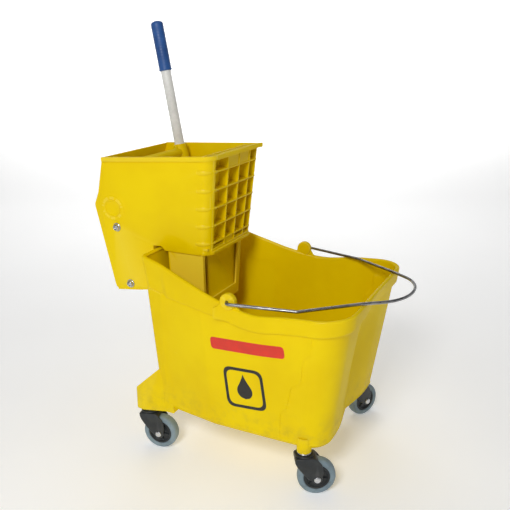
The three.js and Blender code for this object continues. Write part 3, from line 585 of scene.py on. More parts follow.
# Behind BAND_END_X the band's foot fades to nearly flush with the wall.
BAND_FOOT = 1.3 + (BAND_PROUD - 1.0) * step((TOP_0[:, 0] - BAND_END_X + 2) / 4)


def half_ring(z, grow):
    """One side of a ring on the tub's wall, at heights z, moved out by grow."""
    fraction = (z - FLOOR_Z) / (RIM - FLOOR_Z)
    grow = np.broadcast_to(grow, fraction.shape)[:, None]
    low = LOW_0 + grow * (LOW_1 - LOW_0)
    top = TOP_0 + grow * (TOP_1 - TOP_0)
    plan = low + (top - low) * fraction[:, None]
    depth = smooth_at(FLUTE_DEPTHS, np.clip(fraction, 0, 1))
    return np.column_stack([plan[:, 0] - depth * FLUTE, -plan[:, 1], z])


def mirrored(half):
    return np.vstack([half, half[-2:0:-1] * (1, -1, 1)])


SEAM_STEP, CREASE_STEP, POST_STEP = -1.7, 0.7, 2.0
POST_FRONT_X = -139


def moulding_steps(half):
    """How far the wall stands in or out: in ahead of the seam, out behind the crease and on the rear posts.

    The first two fade away under the band, and the post rises from the foot of the wall.
    """
    x, z = half[:, 0], half[:, 2]
    ahead = step((x - np.interp(z, *zip(*SEAM))) / 1.8 + 0.5)
    behind = step((np.interp(z, *zip(*CREASE)) - x) / 1.6 + 0.5)
    fade = step((RIM - BAND - 2 - z) / 4)
    post = step((POST_FRONT_X - x) / 2.0) * step((z - FLOOR_Z - 4) / 10)
    return (CREASE_STEP * behind + SEAM_STEP * ahead) * fade + POST_STEP * post


def wall_ring(z, grow):
    return half_ring(z, grow + moulding_steps(half_ring(z, grow)))


def fillet_rings(level, grow, steps):
    """Rings from a flat floor at a level round into the wall."""
    flat = np.full(len(RIM), 1.0)
    return [half_ring(flat * (level + FILLET * (1 - math.cos(a))), grow - FILLET * (1 - math.sin(a)))
            for a in np.radians(np.linspace(0, 90, steps))]


def tub_rings():
    """The tub's whole skin, from its inner floor up, over the rim and down to its underside."""
    rings = fillet_rings(FLOOR_Z + WALL, -WALL, 8)
    start = FLOOR_Z + WALL + FILLET
    for t in np.linspace(0, 1, WALL_ROWS)[1:]:
        rings.append(wall_ring(start + (RIM - LIP - 2 - start) * t, -WALL))
    middle, radius = (BAND_PROUD - WALL) / 2, (WALL + BAND_PROUD) / 2
    for a in np.radians(np.linspace(180, 0, 11)):
        rings.append(half_ring(RIM - LIP + LIP * math.sin(a), middle + radius * math.cos(a)))
    foot = 3  # the radius of the band's lower edge
    for t in np.linspace(0, 1, BAND_ROWS)[1:]:
        rings.append(half_ring(RIM - LIP - (BAND - LIP - foot) * t,
                               BAND_PROUD + (BAND_FOOT - BAND_PROUD) * t))
    for a in np.radians(np.linspace(0, 110, 5)[1:]):
        rings.append(half_ring(RIM - BAND + foot - foot * math.sin(a), BAND_FOOT - 2.2 * (1 - math.cos(a))))
    rings.append(half_ring(RIM - BAND + 0.6, 0.4))
    top = RIM - BAND - 0.6
    for t in np.linspace(0, 1, WALL_ROWS):
        rings.append(wall_ring(top + (FLOOR_Z + FILLET - top) * t, 0.0))
    rings += fillet_rings(FLOOR_Z, 0.0, 7)[-2::-1]
    return [mirrored(ring) for ring in rings]


def skin(rings, name):
    """A closed mesh through rings, whose first and last are capped."""
    count = len(rings[0])
    faces = []
    for level in range(len(rings) - 1):
        for i in range(count):
            j = (i + 1) % count
            a, b = level * count, (level + 1) * count
            faces.append((a + i, b + i, b + j, a + j))
    last = (len(rings) - 1) * count
    faces.append(tuple(range(count)))
    faces.append(tuple(last + i for i in reversed(range(count))))
    return new_object(name, np.vstack(rings), faces)


def side_span(side, near, far):
    """The low and high Y of something that reaches from near to far on one side."""
    return sorted((side * near, side * far))


def tub_ear(side):
    """A thick round tab on the rim, whose foot flares into the band."""
    x, z, r = EAR["x"], EAR["z"], EAR["radius"]
    flare = [(20, 9), (25, 14), (33, 18), (33, 40)]
    outline = [*arc(x, z, r, -8, 188, 24), *[(x - u, z - v) for u, v in flare],
               (x + 33, z - 40), (x + 33, z - 20), (x + 25, z - 15), (x + 20, z - 9)]
    foot = prism(outline, *side_span(side, EAR["inner"] + 3, EAR["outer"] - 4), "Y", 1.6, 3)
    return [foot, cylinder_y(r, x, z, *side_span(side, EAR["inner"], EAR["outer"]), bevel=3.0)]


def caster_wing(side):
    """The wedge over a rear caster: a sloping top, a lip at the back and a plan that narrows forwards."""
    back, inside, outside, low = WING["back"], WING["inside"], WING["outside"], WING["base_z"]
    slope_x, slope_z, narrow = WING["slope_x"], WING["slope_z"], 150.5
    outline = rounded([(back, low), (slope_x + 30, low), (slope_x + 30, slope_z + 4), (slope_x - 2, slope_z),
                       (back, WING["lip_z"])], [3, 0, 0, 4, 16], 6)
    wing = as_object(prism(outline, *side_span(side, inside, outside)), "wing")
    plan = rounded([(back - 1, inside - 2), (slope_x + 31, inside - 2), (slope_x + 31, narrow),
                    (slope_x + 8, narrow), (back + 20, outside), (back - 1, outside - 3)],
                   [0, 0, 0, 6, 14, 16], 6)
    keep = prism([(x, side * y) for x, y in plan], low - 10, 240, "Z")
    combined(wing, [keep], "INTERSECT", "wing")
    form = bmesh.new()
    form.from_mesh(wing.data)
    bpy.data.objects.remove(wing)
    for vert in form.verts:
        vert.co = (vert.co - ORIGIN) / MM
    bmesh.ops.remove_doubles(form, verts=form.verts, dist=0.02)
    finish_form(form, 2.2, 2, math.radians(50))
    return form


def bucket():
    tub = skin(tub_rings(), "bucket_tub")
    upright = [Matrix.Translation((*stem_place(name)[:2], 0)) for name in CASTERS]
    profile = rounded_profile([(0, 92), (14.2, 92), (15, 104), (15, 124), (0, 124)], 1.2)
    sockets = [lathe(profile, 40, turn) for turn in upright]
    extras = [*tub_ear(-1), *tub_ear(1), caster_wing(-1), caster_wing(1), *sockets]
    combined(tub, extras, "UNION", "bucket_tub")
    pins = [cylinder_y(PIN_HOLE, EAR["x"], EAR["z"], *side_span(side, EAR["pin_inner"] - 0.6, 202), sides=24)
            for side in (-1, 1)]
    stems = [cylinder(STEM_HOLE, 80, 120, 24, turn) for turn in upright]
    combined(tub, pins + stems, "DIFFERENCE", "bucket_tub")
    return piece(tub, "bucket", YELLOW, "bucket_shell", angle=28)


def stem_place(name):
    """A caster's swivel axis, in the bucket's own frame, and the heading of its trail."""
    swivel, spin = JOINTS[f"swivel_turn_{name}"], JOINTS[f"wheel_spin_{name}"]
    place = (Vector(swivel["pos_m"]) - ORIGIN) / MM
    trail = Vector(spin["pos_m"]) - Vector(swivel["pos_m"])
    return place.x, place.y, math.atan2(trail.y, trail.x)


TUB = BVHTree.FromObject(bucket(), bpy.context.evaluated_depsgraph_get())

# ---------------------------------------------------------------- printed label


def strip_sheet(columns):
    """A sheet of quads through columns of (u, v) points."""
    rows = len(columns[0])
    faces = [(i * rows + k, (i + 1) * rows + k, (i + 1) * rows + k + 1, i * rows + k + 1)
             for i in range(len(columns) - 1) for k in range(rows - 1)]
    return [point for column in columns for point in column], faces


def bar_sheet(width, height, radius):
    columns = []
    end, start = width / 2, width / 2 - radius
    for u in np.concatenate([np.linspace(-end, -start, 7), np.linspace(-start, start, 16)[1:],
                             np.linspace(start, end, 7)[1:]]):
        short = max(0.0, abs(u) - start)
        half = height / 2 - radius + math.sqrt(max(radius**2 - short**2, 0.05))
        columns.append([(u, v) for v in np.linspace(-half, half, 5)])
    return strip_sheet(columns)


def frame_sheet(size, radius, stroke):
    """The outline of a rounded square, as a closed band."""
    half = size / 2
    outer = rounded([(-half, -half), (half, -half), (half, half), (-half, half)], radius, 8)
    dense = []
    for (u0, v0), (u1, v1) in zip(outer, outer[1:] + outer[:1]):
        pieces = max(1, round(math.dist((u0, v0), (u1, v1)) / 8))
        dense += [(u0 + (u1 - u0) * k / pieces, v0 + (v1 - v0) * k / pieces) for k in range(pieces)]
    scale = 1 - 2 * stroke / size
    return strip_sheet([[(u * scale, v * scale), (u, v)] for u, v in dense + dense[:1]])


def drop_sheet(width, height):
    """A falling drop: pointed above, round below."""
    columns = []
    radius = width / 2
    for v in np.linspace(-radius, height - radius, 26):
        if v < radius * 0.4:
            half = math.sqrt(max(radius**2 - v**2, 0.04))
        else:
            rise = (v - radius * 0.4) / (height - radius * 1.4)
            half = math.sqrt(radius**2 * 0.84) * (1 - rise) ** 1.25 + 0.2
        columns.append([(u, v) for u in np.linspace(-half, half, 4)])
    return strip_sheet(columns)


def printed(name, sheet, centre, material):
    """A thin film on the tub's near wall. centre is (X, Z), and the film tilts up towards the pour end."""
    points, faces = sheet
    cos, sin = math.cos(LABEL_TILT), math.sin(LABEL_TILT)
    front, back = [], []
    for u, v in points:
        x, z = centre[0] + u * cos - v * sin, centre[1] + u * sin + v * cos
        hit = TUB.ray_cast(ORIGIN + Vector((x, -400, z)) * MM, Vector((0, 1, 0)))[0]
        y = (hit.y - ORIGIN.y) / MM
        front.append((x, y - 0.22, z))
        back.append((x, y + 0.5, z))
    count = len(points)
    edges = dict.fromkeys(edge for face in faces for edge in zip(face, face[1:] + face[:1]))
    rim = [(a, b) for a, b in edges if (b, a) not in edges]
    all_faces = faces + [tuple(i + count for i in reversed(face)) for face in faces]
    all_faces += [(b, a, a + count, b + count) for a, b in rim]
    item = new_object(name, front + back, all_faces)
    form = bmesh.new()
    form.from_mesh(item.data)
    bmesh.ops.remove_doubles(form, verts=form.verts, dist=0.00002)
    bmesh.ops.recalc_face_normals(form, faces=form.faces)
    form.to_mesh(item.data)
    form.free()
    piece(item, "bucket", material, angle=60)


LABEL_TILT = math.radians(5.6)

printed("label_bar", bar_sheet(163, 25, 7), (57, 297), RED_INK)
printed("label_frame", frame_sheet(88, 18, 6.5), (50, 206), BLACK_INK)
printed("label_drop", drop_sheet(34, 54), (50.5, 200), BLACK_INK)

# ---------------------------------------------------------------- swept wires


def bent_path(points, radii, steps=9):
    """Straight runs joined by bends, with a radius for each inner point."""
    points = [Vector(p) for p in points]
    path = [points[0]]
    for before, corner, after, radius in zip(points, points[1:], points[2:], radii):
        path += corner_curve(before, corner, after, bend_reach(before, corner, after, radius), steps)
    return path + [points[-1]]


def tube(path, radius, sides=14, flatten=1.0):
    """A closed solid of round section along a path. radius is a number or one for each point."""
    radii = [radius] * len(path) if isinstance(radius, (int, float)) else radius
    form = bmesh.new()
    tangent = (path[1] - path[0]).normalized()
    across = tangent.orthogonal().normalized()
    if flatten != 1.0:
        across = Vector((0, 0, 1)).cross(tangent).normalized()
    rings = []
    for i, point in enumerate(path):
        ahead = path[min(i + 1, len(path) - 1)] - path[max(i - 1, 0)]
        new_tangent = ahead.normalized()
        across = tangent.rotation_difference(new_tangent) @ across
        tangent = new_tangent
        across = (across - tangent * across.dot(tangent)).normalized()
        up = tangent.cross(across)
        rings.append([form.verts.new(point + (across * math.cos(a) + up * flatten * math.sin(a)) * radii[i])
                      for a in np.linspace(0, 2 * math.pi, sides, endpoint=False)])
    for lower, upper in zip(rings, rings[1:]):
        for i in range(sides):
            j = (i + 1) % sides
            form.faces.new((lower[i], lower[j], upper[j], upper[i]))
    form.faces.new(rings[0][::-1])
    form.faces.new(rings[-1])
    bmesh.ops.recalc_face_normals(form, faces=form.faces)
    return form


def bail():
    hinge_z, flat_z = EAR["z"], BAIL["rest_z"]
    kink_x, kink_y, kink_z = BAIL["kink"]
    bend_x, bend_y = BAIL["bend"]
    half = [(EAR["x"], EAR["pin_inner"], hinge_z), (EAR["x"], BAIL["arm_y"] + 2, hinge_z - 0.5),
            (kink_x, kink_y - 1, kink_z), (bend_x + 4, bend_y - 2, flat_z),
            (302, 69, flat_z + 0.6), (320, 36, flat_z + 0.9)]
    radii = [9, 14, 60, 120, 120]
    nose = (BAIL["nose"] + 1, 0, flat_z + 1)
    near = [(x, -y, z) for x, y, z in half]
    path = bent_path([*near, nose, *half[::-1]], [*radii, 120, *radii[::-1]])
    wire = as_object(tube(path, BAIL["radius"], 16), "bail_wire")
    piece(wire, "bail", WIRE, "bail_handle", angle=40)


bail()

# ---------------------------------------------------------------- wringer housing

# Every form of the housing is drawn with the half-width HALF, and taper carries it to the true one.
HALF = 100
HALF_AT_TOP, NARROWING_X, NARROWING_Z = 107, 0.0666, 0.0823
PLATE = 4.5
BACK_TOP, FRONT_TOP, FRONT_LOW = (-300, 623), (-54, 638), (-71, 438)
BACK_NOTCH, BACK_BUMP, BACK_LOW = (-319, 548), (-331, 521), (-301, 336)
HOOK = dict(rear=-199, front=-180, top=443, rear_low=346, bridge=5)
NEAR_CORNER, FAR_CORNER = 21, 9
GRID_DEPTH, SHELVES, SHELF_THICK, SHELF_Z, SHELF_PITCH = 20, 5, 4.4, 607, 37
UPRIGHTS = (-29, 18, 63)
CELL_NEAR, CELL_FAR = -81, 91
FLANGE = dict(tall=9, proud=3.2)


def wringer_half(x, z):
    """Half-width of the housing, which narrows downwards and forwards."""
    return HALF_AT_TOP - NARROWING_X * (x - FRONT_TOP[0]) + NARROWING_Z * (z - FRONT_TOP[1])


def front_at(z):
    (top_x, top_z), (low_x, low_z) = FRONT_TOP, FRONT_LOW
    return low_x + (top_x - low_x) * (z - low_z) / (top_z - low_z)


def taper(point):
    """Carries a point of the housing, drawn at its nominal half-width, to the housing's taper."""
    return Vector((point.x, point.y * wringer_half(point.x, point.z) / HALF, point.z))


def on_front(point):
    """The same for a point whose X is counted from the leaning front face."""
    return taper(Vector((point.x + front_at(point.z), point.y, point.z)))


def on_top(point):
    """The same for a point whose height is counted from the sloping top edge."""
    (back_x, back_z), (front_x, front_z) = BACK_TOP, FRONT_TOP
    z = point.z + back_z + (point.x - back_x) * (front_z - back_z) / (front_x - back_x)
    return taper(Vector((point.x, point.y, z)))


def front_block(depth_0, depth_1, y0, y1, z0, z1, bevel=0.8):
    return bent(block((-depth_1, y0, z0), (-depth_0, y1, z1), bevel, 2), on_front)


def side_plate(side):
    radius = NEAR_CORNER if side < 0 else FAR_CORNER
    outline = rounded([
        BACK_TOP, BACK_NOTCH, BACK_BUMP, BACK_LOW, (-290, 331), (HOOK["rear"], HOOK["rear_low"] - 4),
        (HOOK["rear"], HOOK["top"]), (HOOK["front"], HOOK["top"]), (HOOK["front"] + 8, 434),
        (FRONT_LOW[0] - radius, 432), (FRONT_TOP[0] - radius, FRONT_TOP[1] - 1)],
        [5, 6, 16, 14, 6, 1, 2, 1, 5, 1, 1], 6)
    return bent(prism(outline, *side_span(side, HALF - PLATE, HALF), "Y", 1.3, 3), taper)


def corner_post(side):
    """The rounded upright corner between a side plate and the first cell of the grid."""
    radius, start = (NEAR_CORNER, -CELL_NEAR) if side < 0 else (FAR_CORNER, CELL_FAR)
    last = math.degrees(math.asin((start - HALF + radius) / radius))
    curve = arc(-radius, HALF - radius - 0.02, radius, 90, last, 12)
    plan = [(-radius - 4, HALF - 0.02), *curve, (-GRID_DEPTH - 2, start), (-radius - 4, HALF - PLATE)]
    form = prism([(u, side * y) for u, y in plan], 434, 635, "Z", 0.7, 2)
    return bent(form, on_front)


def wrapped_rib(side, z, swell):
    """A shelf's end: it runs round the housing's corner and dies out on the side plate as a soft bump."""
    radius, reach = (NEAR_CORNER, 9) if side < 0 else (FAR_CORNER, 6)
    path = [(-radius - reach + k * reach / 6, side * (HALF - 1.0), z) for k in range(6)]
    path += [(u, side * y, z) for u, y in arc(-radius, HALF - radius, radius - 1.2, 90, 0, 10)]
    path += [(-1.2, side * (HALF - radius - 5), z)]
    radii = [swell * (0.35 + 0.65 * math.sin(math.pi * min(1, 0.12 + share * 1.1)) ** 0.8) if share < 0.8
             else swell * 0.55 for share in np.linspace(0, 1, len(path))]
    return bent(tube([Vector(p) for p in path], radii, 12, 1.5), on_front)


def shelf(top, thick):
    rear = -GRID_DEPTH - 1.5
    outline = [(rear, top), (0, top - 0.6), (0, top - thick), (rear, top - thick)]
    return bent(prism(outline, CELL_NEAR - 6, CELL_FAR + 5, "Y", 0.9, 2), on_front)


def front_grid():
    low, top, inner = FRONT_LOW[1], 634, GRID_DEPTH + 1
    lowest = SHELF_Z - SHELF_PITCH * (SHELVES - 1)
    parts = [front_block(GRID_DEPTH, GRID_DEPTH + PLATE, -HALF + 1, HALF - 1, low, top + 2)]
    parts += [shelf(SHELF_Z - SHELF_PITCH * i, SHELF_THICK) for i in range(SHELVES)]
    parts += [shelf(top + 1, 6), shelf(low + 8, 8)]
    parts += [front_block(0, inner, y - 2.1, y + 2.1, low + 2, top) for y in UPRIGHTS]
    # The middle cells of the top row and the near middle cell of the bottom row are filled in.
    parts.append(front_block(1.5, inner, UPRIGHTS[0], UPRIGHTS[2], SHELF_Z - 2, top - 2))
    parts.append(front_block(2, inner, UPRIGHTS[0] - 1, UPRIGHTS[1], low + 5, lowest - 2))
    parts += [corner_post(-1), corner_post(1)]
    parts += [wrapped_rib(side, SHELF_Z - SHELF_PITCH * i - 2.2, swell)
              for side, swell in ((-1, 3.7), (1, 2.6)) for i in range(SHELVES)]
    return parts


def flange():
    """The lip round the housing's top edge, with a pointed far front corner."""
    out, r, front, back = FLANGE["proud"], NEAR_CORNER, FRONT_TOP[0], BACK_TOP[0]
    outer = [(back, -HALF - out), (front - r, -HALF - out)]
    outer += [(u + front, -y) for u, y in arc(-r, HALF - r, r + out, 90, 0, 10)][1:]
    outer += [(front + out, HALF - 4), (front + 6, HALF + 7), (front - 4, HALF + out), (back, HALF + out)]
    inner = [(back, HALF - 1.5), (front - 6, HALF - 1.5), (front - 4, HALF - 6), (front - 4, -HALF + r)]
    inner += [(u + front, -y) for u, y in arc(-r, HALF - r, r - 3.6, 0, 90, 8)] + [(back, -HALF + 1.5)]
    return bent(prism(outer + inner, -FLANGE["tall"], 0, "Z", 1.1, 3), on_top)


def sill():
    """The lip under the grid, which sticks out and has rounded ends."""
    plan = rounded([(-GRID_DEPTH, -HALF + 2), (-14, -HALF - 1), (2.5, -HALF + 16), (2.5, HALF - 2),
                    (-2, HALF + 5), (-9, HALF + 5), (-GRID_DEPTH, HALF - 1)], [2, 8, 12, 3, 3, 3, 2], 6)
    return bent(prism(plan, 432, 440, "Z", 2.2, 4), on_front)


def boss(side):
    """The round cover of the pivot, with a sunken face inside its ring, on a faint round pad."""
    face, ring = HALF - 6, HALF + 2.4
    cover = [(0, face), (18.8, face), (18.8, ring), (15.4, ring), (14.6, ring - 1.5), (0, ring - 1.5)]
    pad = [(0, face), (27, face), (27, HALF + 0.2), (25.6, HALF + 0.7), (0, HALF + 0.7)]
    forms = []
    for profile, radius in ((pad, 0.5), (cover, 0.8)):
        form = lathe(rounded_profile(profile, radius), 64, along_y(*PIVOT))
        if side < 0:
            bmesh.ops.scale(form, vec=(1, -1, 1), verts=form.verts)
            bmesh.ops.reverse_faces(form, faces=form.faces)
        forms.append(bent(form, taper))
    return forms


SKIRT = dict(rear=-168, front=-88, low=300, inset=5, lean=4)


def skirt():
    """The drain skirt inside the bucket: two sides, a back, and a front with a window and a panel in it."""
    half, top = HALF - SKIRT["inset"], HOOK["top"] + 3
    rear, front, low, lean = SKIRT["rear"], SKIRT["front"], SKIRT["low"], SKIRT["lean"]
    face, near = front - 10, -half + 42

    def front_strip(y0, y1, z0, z1):
        low_x, high_x = (front - lean * (top - z) / (top - low) for z in (z0, z1))
        outline = [(low_x - PLATE, z0), (low_x, z0), (high_x, z1), (high_x - PLATE, z1)]
        return prism(outline, y0, y1, "Y", 0.9, 2)

    side = [(rear, low), (front - lean, low), (front, top), (rear, top)]
    parts = [prism(side, *side_span(s, half - PLATE, half), "Y", 1.0, 2) for s in (-1, 1)]
    parts.append(block((rear, -half, low), (rear + PLATE, half, top), 0.8, 2))
    parts += [front_strip(-half, -half + 10, low, top), front_strip(half - 18, half, low, top),
              front_strip(-half, half, 431, top), front_strip(-half, half, low, 325)]
    radius = 14  # of the window's upper corners
    for y, turn in ((-half + 9.5, 1), (half - 17.5, -1)):
        curve = [(y + turn * radius * (1 - math.cos(a)), 432 - radius + radius * math.sin(a))
                 for a in np.radians(np.linspace(90, 0, 7))]
        parts.append(prism([(y, 432), *curve], front - PLATE - 0.6, front - 0.6, "X", 0.3, 1))
    panel = rounded([(face - 6, near), (face, near), (face, half - 3), (face - 6, half - 3)], [1, 5, 1, 1], 5)
    parts.append(prism(panel, low, HOOK["top"] + 2, "Z", 0.5, 1))
    ramp = [(face - 4, 336), (front - 7, 322), (front - 7, 318), (face - 4, 318)]
    parts.append(prism(ramp, near, half - 16, "Y", 1.0, 3))
    return [bent(form, taper) for form in parts]


def housing():
    rear, inner, top = HOOK["rear"] - PLATE, front_at(HOOK["top"]) - 4, HOOK["top"]
    high, edge = top + HOOK["bridge"], HALF - 1
    # The chamber's floor, as (X, X, Y, Y), leaves a hole over the skirt.
    floors = [(rear, inner, -edge, -78), (rear, inner, 78, edge), (rear, SKIRT["rear"] + 6, -79, 79),
              (SKIRT["front"] - 8, inner, -79, 79)]
    plain = [block((x0, y0, top), (x1, y1, high), 0.5, 1) for x0, x1, y0, y1 in floors]
    plain.append(block((rear, -edge, 354), (HOOK["rear"], edge, high), 0.9, 2))
    # Strips across the open back: at the top, behind the press plate, and under it.
    for outline, bevel, segments in (([BACK_TOP, (-309.6, 585), (-305, 585), (-295.5, 622.6)], 1.2, 3),
                                     ([(-322, 470), (-301, 346), (-296.5, 347), (-317.5, 471)], 1.0, 3),
                                     ([(-298, 333.5), (-236, 340), (-236, 336.5), (-297, 329.8)], 0.8, 2)):
        plain.append(prism(outline, -edge, edge, "Y", bevel, segments))
    parts = [side_plate(-1), side_plate(1), *[bent(form, taper) for form in plain], *front_grid(),
             flange(), sill(), *boss(-1), *boss(1), *skirt()]
    body = union(parts, "wringer_housing_shell")
    half = wringer_half(*PIVOT) - 1
    subtract(body, [cylinder_y(ROD_HOLE, *TIE_ROD, -150, 150, sides=20),
                    cylinder_y(ROD_HOLE, *HINGE_ROD, -150, 150, sides=20),
                    cylinder_y(PIVOT_HOLE, *PIVOT, -half, half, sides=24)])
    piece(body, "wringer", YELLOW_WRINGER, "wringer_housing", angle=30)


housing()


def sieve():
    """The sheet on the chamber's floor, with rows of round holes."""
    low = HOOK["top"] + HOOK["bridge"] + 0.3
    x0, x1 = HOOK["rear"] + 2, front_at(HOOK["top"]) - 25.5
    half = wringer_half(x1, HOOK["top"]) - PLATE - 4
    sheet = as_object(block((x0, -half, low), (x1, half, low + 3), 0.6, 2), "sieve_sheet")
    places = [(x0 + 30 + row * 21, (column - 2.5) * 24, 0) for row in range(4) for column in range(6)]
    holes = [cylinder(5, low - 2, low + 5, 18, Matrix.Translation(place)) for place in places]
    subtract(sheet, holes)
    # The sieve takes the darker yellow copy, whose colour paints the chamber's shade.
    piece(sheet, "wringer", YELLOW_PAINTED_SHADE, "drain_sieve")


sieve()

# ---------------------------------------------------------------- lever, yoke and press plate

ARM_LEAN = math.atan2(CROSSBAR["x"] - PIVOT[0], CROSSBAR["z"] - PIVOT[1])
ARM_REACH = math.hypot(CROSSBAR["x"] - PIVOT[0], CROSSBAR["z"] - PIVOT[1])
ARM_TAIL = 25
TAIL = (PIVOT[0] - ARM_TAIL * math.sin(ARM_LEAN), PIVOT[1] - ARM_TAIL * math.cos(ARM_LEAN))
LEVER_FOOT_Z, BOLT_Z = 578, 588


def lever_at(z):
    """The lever's X at a height."""
    return CROSSBAR["x"] - math.tan(LEVER["lean"]) * (z - CROSSBAR["z"])


def along_lever(z):
    """Carries a solid turned about Z onto the leaning lever, starting at a height."""
    return Matrix.Translation((lever_at(z), LEVER["y"], z)) @ Matrix.Rotation(-LEVER["lean"], 4, "Y")


def yoke():
    """The crossbar with its two arms and the lever's flared socket between gussets, in one casting."""
    outline = [*arc(0, ARM_REACH, 11, 0, 180, 14), (-13, 30), (-15, 8), *arc(0, -ARM_TAIL, 7, 180, 360, 12),
               (15, 8), (13, 30)]
    turn = Matrix.Translation((PIVOT[0], 0, PIVOT[1])) @ Matrix.Rotation(ARM_LEAN, 4, "Y")
    parts = [cylinder_y(CROSSBAR["radius"], CROSSBAR["x"], CROSSBAR["z"], -99, 99, 3.0, 48)]
    for side in (-1, 1):
        parts.append(prism(outline, *side_span(side, 91, 98), "Y", 1.6, 3, turn))
        parts.append(cylinder_y(15, *PIVOT, *side_span(side, 90.4, 98.6), 1.2))
    flare = [(0, -34), (15.6, -34), (16, -20), (16.4, -6), (15.6, 4), (14.8, 12), (14.5, 19), (0, 19)]
    parts.append(lathe(rounded_profile(flare, 1.6, 4), 48, along_lever(CROSSBAR["z"])))
    for side in (-1, 1):
        gusset = [(side * 10, -2), (side * 38, -2), (side * 32, 6), (side * 15, 16), (side * 8, 17)]
        form = prism([(min(LEVER["y"] + u, 97.5), v) for u, v in gusset], -3, 3, "X", 1.0, 3)
        parts.append(bent(form, lambda p: Vector((p.x + lever_at(CROSSBAR["z"] + p.z), p.y,
                                                  p.z + CROSSBAR["z"]))))
    body = union(parts, "yoke_casting")
    subtract(body, [cylinder(LEVER["radius"] + 0.3, -1, 70, 48, along_lever(LEVER_FOOT_Z)),
                    cylinder_y(PIVOT_HOLE, *PIVOT, -110, 110, sides=24),
                    cylinder_y(SPRING_HOLE, *TAIL, -110, 110, sides=16), bolt_hole()])
    piece(body, "lever", YELLOW_WRINGER, "lever_yoke")


def along_bolt():
    """Carries a solid turned about Z onto the lever's bolt, along +X."""
    return Matrix.Translation((lever_at(BOLT_Z), LEVER["y"], BOLT_Z)) @ Matrix.Rotation(math.pi / 2, 4, "Y")


def bolt_hole():
    return cylinder(BOLT_HOLE, -30, 30, 20, along_bolt())


def lever_tube():
    start, end = LEVER_FOOT_Z, LEVER["top"] - 4
    length = (end - start) / math.cos(LEVER["lean"])
    inner, outer = LEVER["radius"] - 1.6, LEVER["radius"]
    profile = ring_profile([(inner, 0), (outer, 0), (outer, length), (inner, length)], 0.4)
    item = as_object(lathe(profile, 64, along_lever(start)), "lever_pipe")
    subtract(item, [bolt_hole()])
    piece(item, "lever", WHITE_PAINT, "lever_tube", angle=40)


def lever_grip():
    """A dipped vinyl grip: a rolled lip, fine finger rings and a domed end."""
    length, r, bore = LEVER["grip_length"], LEVER["grip"], LEVER["radius"] + 0.3
    start = LEVER["top"] - length * math.cos(LEVER["lean"])
    lip = [(r - 0.9, 0), (r + 0.1, 0.8), (r + 0.3, 2.4), (r - 0.2, 4.2), (r - 0.5, 5.4)]
    rings = [(r - 0.35 + 0.22 * math.sin(h * 2 * math.pi / 6), h) for h in np.arange(8, length - 12, 1.5)]
    dome = [(r - 0.4, length - 10)] + [((r - 0.4) * math.cos(a), length - 8 + 8 * math.sin(a))
                                       for a in np.radians(np.linspace(0, 84, 9))]
    inside = [(0, length), (0, length - 3), (bore, length - 3), (bore, 0)]
    turned_piece("lever_grip_sleeve", [(bore, 0), *lip, *rings, *dome, *inside], 64, along_lever(start),
                 "lever", BLUE_VINYL, "lever_grip", angle=50)


def hexagon(name, radius, hole, low, high, turn):
    """A hexagon nut with its hole."""
    outline = [(radius * math.cos(a), radius * math.sin(a)) for a in np.radians(range(0, 360, 60))]
    item = as_object(prism(outline, low, high, "Z", 0.5, 2, turn), name)
    return subtract(item, [cylinder(hole, low - 2, high + 2, 20, turn)])


def lever_bolt():
    head = [(0, -20.6), (3.4, -20.6), (5.4, -19), (5.5, -17), (3, -17), (3, 23), (0, 23)]
    turned_piece("lever_bolt_shank", rounded_profile(head, 0.5), 32, along_bolt(),
                 "lever", ZINC, "lever_bolt")
    nut = hexagon("lever_hex_nut", 6, BOLT_HOLE, 17, 21, along_bolt())
    piece(nut, "lever", ZINC, "lever_nut", angle=30)


def press():
    """The plate that squeezes the mop: a shaped board with three hinge knuckles and four ribs."""
    turn = Matrix.Translation((HINGE_ROD[0], 0, HINGE_ROD[1])) @ Matrix.Rotation(math.radians(8.9), 4, "Y")
    outline = rounded([(-82, 16), (82, 16), (88, 160), (58, 172), (58, 246), (-76, 246), (-88, 234)],
                      [3, 3, 6, 8, 10, 8, 8], 6)
    parts = [prism(outline, -2.5, 2.5, "X", 1.4, 3)]
    for y in (-62, 0, 62):
        parts.append(cylinder_y(8, 0, 0, y - 13, y + 13, 1.0, 32))
        parts.append(block((-2.5, y - 13, 2), (2.5, y + 13, 18), 0.6, 1))
    parts += [block((1.5, y - 2, 50), (7.5, y + 2, 232), 1.4, 3) for y in (-60, -24, 12, 48)]
    for form in parts:
        form.transform(turn)
    item = union(parts, "press_board")
    subtract(item, [cylinder_y(ROD_HOLE, *HINGE_ROD, -100, 100, sides=20)])
    # The plate takes the darker yellow copy, whose colour paints the chamber's shade.
    piece(item, "press", YELLOW_PAINTED_SHADE, "press_plate")


yoke()
lever_tube()
lever_grip()
lever_bolt()
press()

# ---------------------------------------------------------------- rods, nuts and springs


def rods():
    """The pivot's shaft, and two rods with a washer and a cap nut at each end."""
    half = wringer_half(*PIVOT) - 2
    shaft = as_object(cylinder_y(6, *PIVOT, -half, half, 0.8, 32), "pivot_bar")
    piece(shaft, "wringer", ZINC, "pivot_shaft", angle=40)
    washer = ring_profile([(4.3, 0), (9, 0), (9, 1.2), (4.3, 1.2)], 0.4)
    cap = ring_profile([(4.3, 1.3), (7.4, 1.3), (7.4, 3.6), (6.6, 5.4), (5.2, 6.9), (4.3, 7.4)], 0.3)
    for name, place in (("tie_rod", TIE_ROD), ("hinge_rod", HINGE_ROD)):
        half = wringer_half(*place)
        rod = as_object(cylinder_y(4, *place, -half - 6, half + 6, 0.8, 28), f"{name}_bar")
        piece(rod, "wringer", ZINC, name, angle=40)
        for label, angle in (("near", math.pi), ("far", 0)):
            turn = along_y(*place) @ Matrix.Rotation(angle, 4, "X") @ Matrix.Translation((0, 0, half + 0.6))
            nut = union([lathe(washer, 40, turn), lathe(cap, 40, turn)], f"{name}_cap_{label}")
            piece(nut, "wringer", ZINC, f"{name}_nut_{label}", angle=35)


